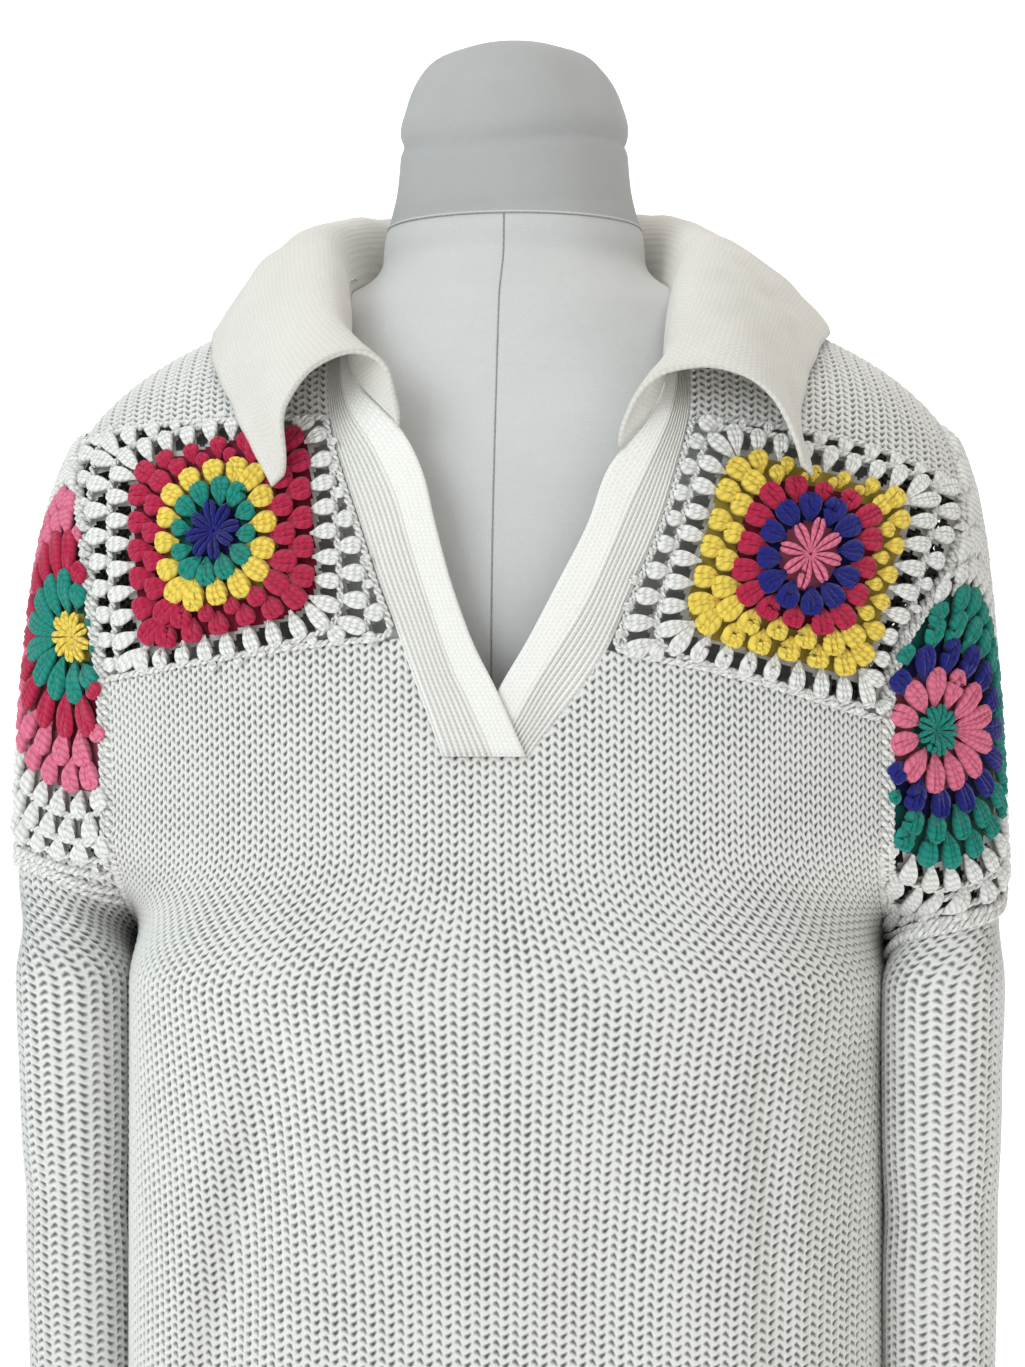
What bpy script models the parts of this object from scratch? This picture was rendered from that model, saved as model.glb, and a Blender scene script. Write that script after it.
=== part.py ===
"""A v-neck sweater in chunky knit with crochet squares, on a limbless dress form.

Metres. The front faces -Y, up is +Z, and the wearer's left is +X. The form stands on z = 0.
Each piece that a maker would cut and sew on is one object: an open sheet with Solidify.

The upper body is one surface, read with two coordinates: x, and the turn over the shoulder,
an angle that is 0 on the shoulder ridge and grows down the front or down the back.
Lower down the body and each sleeve are tubes, read with a height and a way round.
"""

import math

import bmesh
import bpy
import numpy as np

# Cloth
WALL = 0.003
COLLAR_WALL = 0.0026
BAND_WALL = 0.0024
RIB_RELIEF = 0.0006
SEAM_INSET = 0.00025
ARMHOLE_INSET = 0.0009
SLEEVE_SEAM_INSET = 0.0006

# Near the ridge, a turn of 1 moves the cloth by this
SEAM_TURN_REACH = 0.1

# The whole is moved back by this, which puts the middle of its depth on the origin
MIDDLE_SHIFT = 0.00915

# Levels
HEM_HEIGHT = 0.060
HEM_RIB_TOP = 0.095
CUFF_HEIGHT = 0.085
CUFF_RIB_TOP = 0.130
CHEST_LEVEL = 0.450
UNDERARM_LEVEL = 0.372
SHOULDER_TIP = 0.653
SLEEVE_TOP = 0.651

# The shoulder: the outline from the front, and how the cloth rounds over it
SHOULDER_LINE = (
    # half width, height
    (0.000, 0.800),
    (0.030, 0.790),
    (0.055, 0.765),
    (0.075, 0.744),
    (0.100, 0.731),
    (0.150, 0.709),
    (0.185, 0.691),
    (0.210, 0.672),
    (0.226, 0.652),
    (0.236, 0.625),
    (0.243, 0.580),
    (0.248, 0.520),
    (0.251, 0.450),
    (0.252, 0.360),
)
ROUNDING = 0.120
ROUNDING_POWER = 2.2
SIDE_REACH = 0.264
SIDE_POWER = 2.6

FRONT_DEPTH = (
    # height, depth
    (0.040, 0.150),
    (0.200, 0.149),
    (0.350, 0.150),
    (0.480, 0.150),
    (0.560, 0.148),
    (0.610, 0.142),
    (0.660, 0.130),
    (0.700, 0.117),
    (0.750, 0.104),
    (0.810, 0.095),
)
BACK_DEPTH = (
    # height, depth
    (0.040, 0.132),
    (0.200, 0.130),
    (0.350, 0.128),
    (0.480, 0.132),
    (0.560, 0.134),
    (0.620, 0.130),
    (0.680, 0.116),
    (0.720, 0.104),
    (0.750, 0.092),
    (0.810, 0.085),
)
BODY_HALF_WIDTH = 0.1950
BODY_POWER = 3.4
HALF_OUTLINE = 0.26

# The armholes, one for each side of the body: the wearer's right first. They are alike
# below the chest.
SIDES = {"right": -1.0, "left": 1.0}
ARMHOLE = {
    # height, half width
    "right": (
        (0.3600, 0.1900),
        (0.4500, 0.1890),
        (0.4700, 0.1890),
        (0.5208, 0.1916),
        (0.5479, 0.1960),
        (0.5805, 0.2015),
        (0.6006, 0.2065),
        (0.6235, 0.2145),
        (0.6530, 0.2222),
    ),
    "left": (
        (0.3600, 0.1900),
        (0.4500, 0.1890),
        (0.4700, 0.1890),
        (0.5161, 0.1893),
        (0.5305, 0.1920),
        (0.5449, 0.1975),
        (0.5644, 0.2105),
        (0.5845, 0.2225),
        (0.6052, 0.2285),
        (0.6280, 0.2280),
        (0.6530, 0.2222),
    ),
}

# The lower sleeve, a flat empty tube that hangs beside the body
SLEEVE_TUBE = (
    # height, middle x, middle y, half thickness, half depth
    (0.060, 0.2235, -0.004, 0.0235, 0.062),
    (0.130, 0.2240, -0.004, 0.0240, 0.068),
    (0.250, 0.2250, -0.006, 0.0250, 0.078),
    (0.372, 0.2250, -0.004, 0.0280, 0.092),
    (0.450, 0.2250, -0.002, 0.0280, 0.100),
)
SLEEVE_POWER = 2.5
SLEEVE_OUTLINE = 0.30

# The sleeve's crochet square covers this share of the way round, from the front seam
SQUARE_SHARE = 0.56
SLEEVE_SQUARE_SEAM = {
    # wearer's side: height of the square's lower seam at the front, and its rise outwards
    "right": (0.432, 0.012),
    "left": (0.398, 0.026),
}
SEAM_RISE_END = 0.35

# Soft folds: troughs where the depth is above 0, ridges where it is below
BODY_FOLDS = (
    # side, top x, top height, bottom x, bottom height, depth, width
    ("front", -0.080, 0.370, -0.128, 0.060, 0.0070, 0.022),
    ("front", 0.128, 0.380, 0.150, 0.060, 0.0080, 0.016),
    ("front", 0.060, 0.330, 0.040, 0.060, 0.0030, 0.030),
    ("front", -0.150, 0.300, -0.165, 0.060, -0.0040, 0.020),
    ("back", -0.070, 0.400, -0.100, 0.060, 0.0070, 0.026),
    ("back", 0.090, 0.420, 0.075, 0.060, 0.0060, 0.022),
    ("back", 0.010, 0.350, -0.010, 0.060, -0.0040, 0.030),
    ("back", 0.150, 0.300, 0.160, 0.060, -0.0040, 0.020),
)
SLEEVE_FOLDS = (
    # height, way round, depth, height spread
    (0.400, 0.30, 0.0040, 0.016),
    (0.335, 0.62, 0.0045, 0.018),
    (0.260, 0.20, 0.0030, 0.020),
    (0.190, 0.70, 0.0035, 0.022),
)
FOLD_ROUND = 0.16

# Front seams, one set for each side of the body
SQUARE_LOWER = {
    # half width, height
    "right": ((0.030, 0.5450), (0.080, 0.5415), (0.140, 0.5330), (0.200, 0.5225)),
    "left": ((0.030, 0.5435), (0.063, 0.5375), (0.120, 0.5257), (0.200, 0.5010)),
}
SQUARE_UPPER = {
    "right": ((0.060, 0.6545), (0.120, 0.6545), (0.180, 0.6535), (0.224, 0.6470)),
    "left": ((0.060, 0.6520), (0.120, 0.6515), (0.180, 0.6415), (0.229, 0.6240)),
}
BAND_OUTER = {
    # x, height
    "right": (
        (-0.0200, 0.480),
        (-0.0225, 0.492),
        (-0.0330, 0.521),
        (-0.0420, 0.545),
        (-0.0525, 0.572),
        (-0.0620, 0.600),
        (-0.0720, 0.628),
        (-0.0800, 0.655),
        (-0.0835, 0.690),
        (-0.0845, 0.730),
    ),
    "left": (
        (0.0160, 0.480),
        (0.0230, 0.492),
        (0.0460, 0.521),
        (0.0600, 0.545),
        (0.0710, 0.572),
        (0.0825, 0.600),
        (0.0905, 0.628),
        (0.0960, 0.655),
        (0.0945, 0.690),
        (0.0900, 0.730),
    ),
}
BAND_INNER = {
    "right": (
        (0.0235, 0.480),
        (0.0180, 0.492),
        (0.0050, 0.521),
        (-0.0070, 0.545),
        (-0.0170, 0.572),
        (-0.0250, 0.600),
        (-0.0325, 0.628),
        (-0.0450, 0.650),
        (-0.0665, 0.672),
        (-0.0750, 0.700),
        (-0.0790, 0.730),
    ),
    "left": (
        (-0.0150, 0.480),
        (-0.0090, 0.492),
        (0.0050, 0.521),
        (0.0190, 0.545),
        (0.0330, 0.572),
        (0.0470, 0.600),
        (0.0570, 0.628),
        (0.0740, 0.650),
        (0.0835, 0.672),
        (0.0850, 0.700),
        (0.0845, 0.730),
    ),
}
BAND_BOTTOM = 0.4890
BAND_TOP = 0.7000
BAND_RIBS = 8

# The ribs fill the band's outer part, from this share of its width
BAND_PLAIN = 0.45
LAP_TOP = 0.560
LAP_FULL = 0.530
LAP_LIFT = BAND_WALL + 0.0010

# The yoke's inner edge is read from the band's outer edge above this height
YOKE_EDGE_START = 0.62

# Back neck
NECK_CORNER = 0.0840
BACK_NECK = (
    # half width, height
    (0.000, 0.7440),
    (0.030, 0.7450),
    (0.060, 0.7460),
    (0.084, 0.7385),
)

# The collar, in stations from the front end over the shoulder to the middle of the back.
# The cloth rises from the neck seam and rolls over to the outer edge.
COLLAR_STATIONS = {
    "right": (
        # neck x, height, edge x, height, edge lift, stand rise, roll out, roll rise
        (-0.0440, 0.6480, -0.1050, 0.6190, 0.006, 0.030, 0.020, 0.062),
        (-0.0690, 0.6760, -0.1240, 0.6500, 0.004, 0.036, 0.020, 0.048),
        (-0.0775, 0.7120, -0.1430, 0.6830, 0.004, 0.040, 0.028, 0.046),
        (-0.0840, 0.7380, -0.1510, 0.7085, 0.004, 0.045, 0.030, 0.046),
    ),
    "left": (
        (0.0620, 0.6360, 0.1525, 0.6230, 0.006, 0.030, 0.030, 0.062),
        (0.0810, 0.6640, 0.1480, 0.6520, 0.004, 0.036, 0.028, 0.048),
        (0.0855, 0.7100, 0.1560, 0.6850, 0.004, 0.040, 0.030, 0.046),
        (0.0840, 0.7380, 0.1600, 0.7045, 0.004, 0.045, 0.030, 0.046),
    ),
}
COLLAR_BACK = (
    # neck x, height, edge x, height, edge lift, stand rise, roll out, roll rise
    (0.0560, 0.7470, 0.1050, 0.7000, 0.004, 0.046, 0.024, 0.048),
    (0.0000, 0.7440, 0.0000, 0.7050, 0.004, 0.048, 0.016, 0.048),
)

# The gap from the cloth below to the middle of the collar's wall, at the seam, and its growth
COLLAR_SEAT = 0.0014
COLLAR_FALL = 0.0020

# How far over the fall the collar's roll lies, and how much of the roll out goes with it
ROLL_OVER = 0.62
ROLL_OUT = 0.30

# The dress form
FORM_GAP = 0.0008
FORM_TORSO = (
    # height, half width, front depth, back depth
    (0.000, 0.164, 0.112, 0.104),
    (0.060, 0.168, 0.114, 0.108),
    (0.140, 0.166, 0.112, 0.110),
    (0.240, 0.146, 0.100, 0.098),
    (0.330, 0.133, 0.094, 0.088),
    (0.420, 0.147, 0.108, 0.094),
    (0.500, 0.163, 0.124, 0.102),
    (0.560, 0.173, 0.126, 0.108),
    (0.610, 0.182, 0.118, 0.110),
    (0.650, 0.188, 0.108, 0.104),
    (0.680, 0.190, 0.099, 0.096),
    (0.720, 0.200, 0.090, 0.084),
    (0.760, 0.200, 0.084, 0.076),
    (0.810, 0.200, 0.080, 0.072),
)
FORM_NECK = (
    # height, half width, half depth, middle y
    (0.700, 0.0900, 0.0760, 0.004),
    (0.728, 0.0755, 0.0640, 0.000),
    (0.742, 0.0700, 0.0620, 0.001),
    (0.758, 0.0680, 0.0620, 0.002),
    (0.782, 0.0620, 0.0590, 0.002),
    (0.808, 0.0595, 0.0575, 0.002),
    (0.826, 0.0570, 0.0550, 0.002),
    (0.842, 0.0500, 0.0485, 0.002),
    (0.853, 0.0390, 0.0380, 0.002),
    (0.859, 0.0230, 0.0225, 0.002),
)
FORM_POWER = 2.4
FORM_SIDE_REACH = 0.205
FORM_EDGE_POWER = 6.0

# Heights over which the torso turns into the shoulders, and these into the neck
SHOULDER_START = (0.560, 0.640)
NECK_START = (0.716, 0.750)
FORM_SLOPE = math.radians(25.0)
FORM_AROUND = 32
FORM_RINGS = (
    *(0.000, 0.050, 0.110, 0.180, 0.250, 0.320, 0.390, 0.450, 0.510, 0.560, 0.600, 0.635),
    *(0.662, 0.680, 0.695, 0.708, 0.720, 0.730, 0.738, 0.746, 0.758, 0.772, 0.790, 0.808),
    *(0.826, 0.842, 0.853, 0.859),
)

# The meshes: columns and rows of each piece
PANEL_LOWER_ROWS = 12
PANEL_UPPER_ROWS = {"front": 4, "back": 14}
FRONT_TOP_COLUMNS = 7
FRONT_BAND_SHARES = (0.35, 0.70, 1.00)
BACK_SHOULDER_COLUMNS = 8
BACK_NECK_COLUMNS = (0.060, 0.038, 0.018)
YOKE_CELLS = 8
BAND_ROWS = 13
BAND_PLAIN_COLUMNS = 4
COLLAR_STEPS = 3
COLLAR_CELLS = 9
SLEEVE_TUBE_ROWS = 9
SLEEVE_JOINT_ROWS = 3
SLEEVE_UPPER_ROWS = 11
SLEEVE_COLUMNS = {"under the square": 10, "beside the square": 8}
HEM_COLUMNS = 37
CUFF_COLUMNS = 25

# Openwork of a front square: shares of its width, and the rows of gaps up each side.
# Every second row has gaps in both columns, the others in the inner column alone.
OPENWORK_COLUMNS = (0.0, 0.045, 0.080, 0.120, 0.155, 0.200)
OUTER_GAP = 1
INNER_GAP = 3
FIELD_COLUMNS = (0.320, 0.440, 0.560, 0.680)
GAP_ROWS = 8
GAP_MARGIN = 0.06
GAP_HEIGHT = 0.45

# Openwork of a sleeve square: shares of its height, and the rows that have gaps
SLEEVE_SQUARE_COLUMNS = 15
SLEEVE_SQUARE_ROWS = (
    *(0.000, 0.035, 0.070, 0.105, 0.140, 0.175, 0.270, 0.370),
    *(0.480, 0.590, 0.690, 0.790, 0.890, 0.930, 0.965, 1.000),
)
LOWER_GAP_ROWS = (1, 3)
UPPER_GAP_ROW = 12

COLLECTION = "v_neck_sweater"
COLOURS = {
    # name: red, green, blue, roughness
    "cream_knit": (0.76, 0.73, 0.67, 0.9),
    "cream_fine_knit": (0.78, 0.75, 0.70, 0.9),
    "crochet": (0.45, 0.10, 0.16, 0.9),
    "jersey": (0.58, 0.60, 0.60, 0.85),
}


def smooth_rows(rows, steps=16):
    """Points on a smooth curve through the rows of a table (Catmull-Rom)."""
    rows = np.array(rows, float)
    padded = np.vstack([2 * rows[0] - rows[1], rows, 2 * rows[-1] - rows[-2]])
    share = np.linspace(0.0, 1.0, steps, endpoint=False)[:, None]
    runs = []
    for before, start, end, after in zip(padded, padded[1:], padded[2:], padded[3:]):
        runs.append(
            start
            + 0.5 * share * (end - before)
            + share**2 * (before - 2.5 * start + 2 * end - 0.5 * after)
            + 0.5 * share**3 * (3 * start - before - 3 * end + after)
        )
    return np.vstack(runs + [rows[-1:]])


def look_up(value, keys, results):
    """Linear look-up in points whose keys rise or fall."""
    if keys[0] > keys[-1]:
        keys = keys[::-1]
        results = results[::-1]
    return np.interp(value, keys, results)


def ease(value, start, end):
    """0 at start, 1 at end, smooth between."""
    share = np.clip((value - start) / (end - start), 0.0, 1.0)
    return share * share * (3.0 - 2.0 * share)


def mix(first, second, share):
    return first + (second - first) * share


SHOULDER_POINTS = smooth_rows(SHOULDER_LINE)
FRONT_POINTS = smooth_rows(FRONT_DEPTH)
BACK_POINTS = smooth_rows(BACK_DEPTH)
ARMHOLE_POINTS = {side: smooth_rows(rows) for side, rows in ARMHOLE.items()}
TUBE_POINTS = smooth_rows(SLEEVE_TUBE)
TORSO_POINTS = smooth_rows(FORM_TORSO)
NECK_POINTS = smooth_rows(FORM_NECK)


def ridge_height(x):
    return look_up(np.abs(x), SHOULDER_POINTS[:, 0], SHOULDER_POINTS[:, 1])


def outline_width(height):
    return look_up(height, SHOULDER_POINTS[:, 1], SHOULDER_POINTS[:, 0])


def armhole_width(height, side="left"):
    points = ARMHOLE_POINTS[side]
    return look_up(height, points[:, 0], points[:, 1])


def cloth_depth(height, side):
    points = FRONT_POINTS if side == "front" else BACK_POINTS
    return look_up(height, points[:, 0], points[:, 1])


def side_falloff(x, reach):
    return (1.0 - np.clip(np.abs(x) / reach, 0.0, 0.999) ** SIDE_POWER) ** (1.0 / SIDE_POWER)


def turn_at(x, height):
    """The turn over the shoulder of the cloth at this x and height."""
    drop = np.maximum((ridge_height(x) - height) / ROUNDING, 0.0)
    near = np.arccos(np.clip(1.0 - drop, 0.0, 1.0) ** (ROUNDING_POWER / 2.0))
    return np.where(drop < 1.0, near, math.pi / 2.0 + drop - 1.0)


def height_at(x, turn):
    near = 1.0 - np.clip(np.cos(turn), 0.0, 1.0) ** (2.0 / ROUNDING_POWER)
    drop = np.where(turn < math.pi / 2.0, near, 1.0 + turn - math.pi / 2.0)
    return ridge_height(x) - ROUNDING * drop


def fold_depth(x, height, side):
    """How far the soft folds press the body's cloth in."""
    total = 0.0
    for where, top_x, top, bottom_x, bottom, depth, width in BODY_FOLDS:
        if where != side:
            continue
        share = (top - height) / (top - bottom)
        middle = mix(top_x, bottom_x, share)
        total += depth * ease(share, 0.0, 0.55) * np.exp(-(((x - middle) / width) ** 2))
    return total


def cloth(x, turn, side):
    """A point of the upper body's outer surface."""
    height = height_at(x, turn)
    rise = np.sin(np.minimum(turn, math.pi / 2.0)) ** (2.0 / ROUNDING_POWER)
    depth = cloth_depth(height, side) * side_falloff(x, SIDE_REACH) * rise
    forward = -1.0 if side == "front" else 1.0
    depth = depth - fold_depth(x, height, side)
    return np.array([x, forward * depth, height])


def cloth_at(x, height, side):
    return cloth(x, turn_at(x, height), side)


def cloth_normal(x, turn, side):
    """The outward direction of the upper body's surface."""
    step = 0.002
    above = max(turn - step / ROUNDING, 0.0)
    along = cloth(x + step, turn, side) - cloth(x - step, turn, side)
    down = cloth(x, turn + step / ROUNDING, side) - cloth(x, above, side)
    normal = np.cross(down, along) if side == "front" else np.cross(along, down)
    return normal / np.linalg.norm(normal)


def above_cloth(point):
    """Roughly how far a point is outside the upper body's surface, and the way out."""

    def level(place):
        x, y, height = place
        side = "front" if y < 0.0 else "back"
        depth = cloth_depth(height, side) * side_falloff(x, SIDE_REACH)
        drop = (ridge_height(x) - height) / ROUNDING
        rounded = max(1.0 - drop, 0.0) ** ROUNDING_POWER
        return (abs(y) / depth) ** ROUNDING_POWER + rounded - 1.0

    step = 0.001
    here = level(point)
    slope = np.array(
        [
            (level(point + step * axis) - level(point - step * axis)) / (2 * step)
            for axis in np.eye(3)
        ]
    )
    size = np.linalg.norm(slope)
    return here / size, slope / size


def pushed_out(point, clear):
    """The point, moved out until it is at least this far above the upper body's cloth."""
    for _ in range(6):
        distance, way_out = above_cloth(point)
        if distance >= clear:
            break
        point = point + way_out * (clear - distance)
    return point


def resample(points, shares):
    """Points at these shares of a line's length."""
    steps = np.linalg.norm(np.diff(points, axis=0), axis=1)
    run = np.concatenate([[0.0], np.cumsum(steps)])
    return np.array([look_up(np.array(shares) * run[-1], run, points[:, k]) for k in range(3)]).T


def edge_reader(rows):
    """x as a function of the turn, for a seam that runs down the cloth."""
    points = smooth_rows(rows)
    turns = turn_at(points[:, 0], points[:, 1])
    order = np.argsort(turns)
    turns = turns[order]
    places = points[order, 0]
    return lambda turn: np.interp(turn, turns, places)


def seam_reader(rows, direction):
    """The turn as a function of x, for a seam that runs across the cloth."""
    points = smooth_rows(rows)
    places = points[:, 0] * direction
    order = np.argsort(places)
    places = places[order]
    turns = turn_at(places, points[order, 1])
    return lambda x: np.interp(x, places, turns)


def level_reader(height):
    return lambda x: turn_at(x, height)


def armhole_reader(side):
    """The armhole's edge from the chest to the shoulder tip, and over it to the ridge."""
    heights = np.linspace(CHEST_LEVEL - 0.02, SHOULDER_TIP, 60)
    places = armhole_width(heights, side)
    turns = turn_at(places, heights)
    turns = np.append(turns, 0.0)[::-1]
    places = np.append(places, outline_width(SHOULDER_TIP))[::-1] - ARMHOLE_INSET
    return lambda turn: SIDES[side] * np.interp(turn, turns, places)


ARMHOLE_EDGES = {side: armhole_reader(side) for side in SIDES}


def armhole_edge(x, turn):
    """The half width at the armhole on the side of this x."""
    return abs(ARMHOLE_EDGES["right" if x < 0.0 else "left"](turn))


def patch(columns, rows, inner, outer, lower, upper):
    """A grid of x and turn between two edges and two seams, moved in by the seam's gap."""
    turn_inset = SEAM_INSET / ROUNDING
    grid = []
    for row in rows:
        line = []
        for column in columns:
            turn = 1.2
            for _ in range(25):
                start = inner(turn)
                end = outer(turn)
                inset = math.copysign(SEAM_INSET, end - start)
                x = mix(start + inset, end - inset, column)
                turn = mix(lower(x) - turn_inset, upper(x) + turn_inset, row)
            line.append((float(x), float(turn)))
        grid.append(line)
    return grid


def add_sheet(name, grid, colour, thickness=WALL, holes=(), flip=False, ribs=None, wrap=False):
    """One piece of cloth: a sheet of points, made a wall by Solidify."""
    mesh = bmesh.new()
    layer = mesh.verts.layers.deform.verify()
    points = [[mesh.verts.new(point) for point in line] for line in grid]
    across = len(points[0])
    for row in range(len(points) - 1):
        for column in range(across if wrap else across - 1):
            if (row, column) in holes:
                continue
            after = (column + 1) % across
            corners = [
                points[row][column],
                points[row][after],
                points[row + 1][after],
                points[row + 1][column],
            ]
            mesh.faces.new(corners[::-1] if flip else corners)
    loose = [vert for vert in mesh.verts if not vert.link_faces]
    if ribs is not None:
        for line, weights in zip(points, ribs):
            for vert, weight in zip(line, weights):
                vert[layer][0] = weight
    bmesh.ops.delete(mesh, geom=loose, context="VERTS")
    bmesh.ops.remove_doubles(mesh, verts=mesh.verts, dist=0.00005)
    data = bpy.data.meshes.new(name)
    mesh.to_mesh(data)
    mesh.free()
    piece = add_object(name, data, colour)
    solidify = piece.modifiers.new("wall", "SOLIDIFY")
    solidify.thickness = thickness
    solidify.offset = -1.0
    solidify.use_even_offset = False
    if ribs is not None:
        piece.vertex_groups.new(name="rib")
        solidify.offset = 1.0
        solidify.vertex_group = "rib"
    return piece


def add_object(name, data, colour):
    piece = bpy.data.objects.new(name, data)
    bpy.data.collections[COLLECTION].objects.link(piece)
    piece.location = (0.0, MIDDLE_SHIFT, 0.0)
    piece.data.materials.append(material(name, colour))
    data.shade_smooth()
    return piece


def material(name, colour):
    red, green, blue, roughness = COLOURS[colour]
    made = bpy.data.materials.new(f"{name}_{colour}")
    made.use_nodes = True
    shader = made.node_tree.nodes["Principled BSDF"]
    shader.inputs["Base Color"].default_value = (red, green, blue, 1.0)
    shader.inputs["Roughness"].default_value = roughness
    shader.inputs["Metallic"].default_value = 0.0
    return made


def clear_scene():
    for item in list(bpy.data.objects):
        bpy.data.objects.remove(item)
    scene = bpy.context.scene
    scene.collection.children.link(bpy.data.collections.new(COLLECTION))


# The body below the chest

def body_half(height, side, count=60):
    """Half of the body's outline at a height, from the middle to the armhole or the side seam."""
    share = np.linspace(0.0, 1.0, count)
    closing = ease(CHEST_LEVEL - height, 0.0, CHEST_LEVEL - UNDERARM_LEVEL)
    depth = cloth_depth(height, side)
    edge = armhole_width(max(height, UNDERARM_LEVEL))
    open_x = edge * share
    open_y = depth * side_falloff(open_x, SIDE_REACH)
    angle = share * math.pi / 2.0
    closed_x = BODY_HALF_WIDTH * np.sin(angle) ** (2.0 / BODY_POWER)
    closed_y = depth * np.cos(angle).clip(0.0) ** (2.0 / BODY_POWER)
    even = np.linspace(0.0, 1.0, count)
    level = np.full(count, height)
    opened = resample(np.stack([open_x, open_y, level], 1), even)
    closed = resample(np.stack([closed_x, closed_y, level], 1), even)
    return mix(opened, closed, closing)


def body_point(share, height, side):
    """A point of the body's outer surface: share runs from -1 on the right to 1 on the left."""
    closed = height <= UNDERARM_LEVEL
    inset = 1.0 - (SEAM_INSET if closed else ARMHOLE_INSET) / HALF_OUTLINE
    x, y, _ = resample(body_half(height, side), [abs(share) * inset])[0]
    x = math.copysign(x, share)
    y = y - fold_depth(x, height, side)
    return np.array([x, -y if side == "front" else y, height])


def body_share(x, height, side):
    """The share of the half outline at which this x lies."""
    half = body_half(height, side)
    run = np.concatenate([[0.0], np.cumsum(np.linalg.norm(np.diff(half, axis=0), axis=1))])
    return math.copysign(np.interp(abs(x), half[:, 0], run / run[-1]), x)


def body_panel(name, side, tops):
    """A panel from the hem rib to the seams above. Each top is the x and turn where a column ends."""
    chest = CHEST_LEVEL
    shares = []
    for x, _ in tops:
        reach = armhole_width(chest) / outer_top(tops, x)
        shares.append(body_share(x * reach, chest, side))
    shares[0] = -1.0
    shares[-1] = 1.0
    lower_rows = np.linspace(HEM_RIB_TOP + SEAM_INSET, chest, PANEL_LOWER_ROWS)
    grid = [[body_point(share, height, side) for share in shares] for height in lower_rows]
    upper_rows = PANEL_UPPER_ROWS[side]
    for step in range(1, upper_rows + 1):
        line = []
        for share, (top_x, top_turn) in zip(shares, tops):
            low_x = body_point(share, chest, side)[0]
            low_turn = turn_at(low_x, chest)
            part = step / upper_rows
            turn = mix(low_turn, top_turn, part)
            x = mix(low_x, top_x, part)
            edge = armhole_edge(x, turn)
            straight = mix(armhole_width(chest), outer_top(tops, x), part)
            x = x * (1.0 + (edge - straight) / straight * (abs(x) / straight) ** 2)
            line.append(cloth(x, turn, side))
        grid.append(line)
    return add_sheet(name, grid, "cream_knit", flip=side == "back")


def outer_top(tops, x):
    return abs(tops[0][0]) if x < 0 else abs(tops[-1][0])


def front_tops():
    """Where the front panel's columns end: under the squares, and along the neck bands."""
    bottom_turn = turn_at(0.0, BAND_BOTTOM) + 2 * SEAM_INSET / ROUNDING
    tops = []
    for side in ("right", "left"):
        direction = SIDES[side]
        outer_edge = edge_reader(BAND_OUTER[side])
        lower = seam_reader(SQUARE_LOWER[side], direction)
        corner_turn = 1.0
        for _ in range(30):
            corner = outer_edge(corner_turn)
            corner_turn = lower(corner)
        edge = armhole_edge(direction, lower(direction * armhole_width(CHEST_LEVEL)))
        points = []
        for share in np.linspace(1.0, 0.0, FRONT_TOP_COLUMNS):
            x = direction * mix(abs(corner) + SEAM_INSET, edge - SEAM_INSET, share)
            points.append((float(x), float(lower(x)) + SEAM_INSET / ROUNDING))
        for share in FRONT_BAND_SHARES:
            turn = mix(corner_turn, bottom_turn, share)
            x = outer_edge(turn) + direction * SEAM_INSET * 2
            points.append((float(x), float(turn)))
        tops.append(points)
    return tops[0] + [(0.0, float(bottom_turn))] + tops[1][::-1]


def back_tops():
    """Where the back panel's columns end: along the back neck and the shoulder seams."""
    tip = outline_width(SHOULDER_TIP)
    neck = seam_reader(BACK_NECK, 1.0)
    half = []
    for x in np.linspace(tip - SEAM_INSET, NECK_CORNER, BACK_SHOULDER_COLUMNS):
        half.append((float(x), SEAM_INSET / SEAM_TURN_REACH))
    for x in BACK_NECK_COLUMNS:
        half.append((x, float(neck(x))))
    middle = [(0.0, float(neck(0.0)))]
    return [(-x, turn) for x, turn in half] + middle + half[::-1]


def add_squares():
    """Front crochet squares. The gaps of their openwork are left out of the sheet."""
    border = np.array(OPENWORK_COLUMNS)
    columns = np.concatenate([border, FIELD_COLUMNS, 1.0 - border[::-1]])
    pitch = (1.0 - 2.0 * GAP_MARGIN) / GAP_ROWS
    rows = [0.0, GAP_MARGIN]
    for step in range(GAP_ROWS):
        start = GAP_MARGIN + pitch * step
        rows += [start + pitch * GAP_HEIGHT, start + pitch]
    rows.append(1.0)
    last = len(columns) - 2
    holes = set()
    for step in range(GAP_ROWS):
        gaps = (INNER_GAP,) if step % 2 else (INNER_GAP, OUTER_GAP)
        for column in gaps:
            holes |= {(1 + 2 * step, column), (1 + 2 * step, last - column)}
    for side, direction in SIDES.items():
        grid = patch(
            columns,
            rows,
            edge_reader(BAND_OUTER[side]),
            ARMHOLE_EDGES[side],
            seam_reader(SQUARE_LOWER[side], direction),
            seam_reader(SQUARE_UPPER[side], direction),
        )
        sheet = [[cloth(x, turn, "front") for x, turn in line] for line in grid]
        add_sheet(f"front_square_{side}", sheet, "crochet", holes=holes, flip=direction < 0)


def add_yokes():
    """The strips from the squares up to the shoulder seams."""
    for side, direction in SIDES.items():
        corner = direction * NECK_CORNER
        above_square = [row for row in BAND_OUTER[side] if row[1] > YOKE_EDGE_START]
        even = np.linspace(0.0, 1.0, YOKE_CELLS)
        grid = patch(
            even,
            even,
            edge_reader(above_square + [(corner, ridge_height(corner))]),
            ARMHOLE_EDGES[side],
            seam_reader(SQUARE_UPPER[side], direction),
            lambda x: 0.0,
        )
        sheet = [[cloth(x, turn, "front") for x, turn in line] for line in grid]
        add_sheet(f"yoke_{side}", sheet, "cream_knit", flip=direction < 0)


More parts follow.
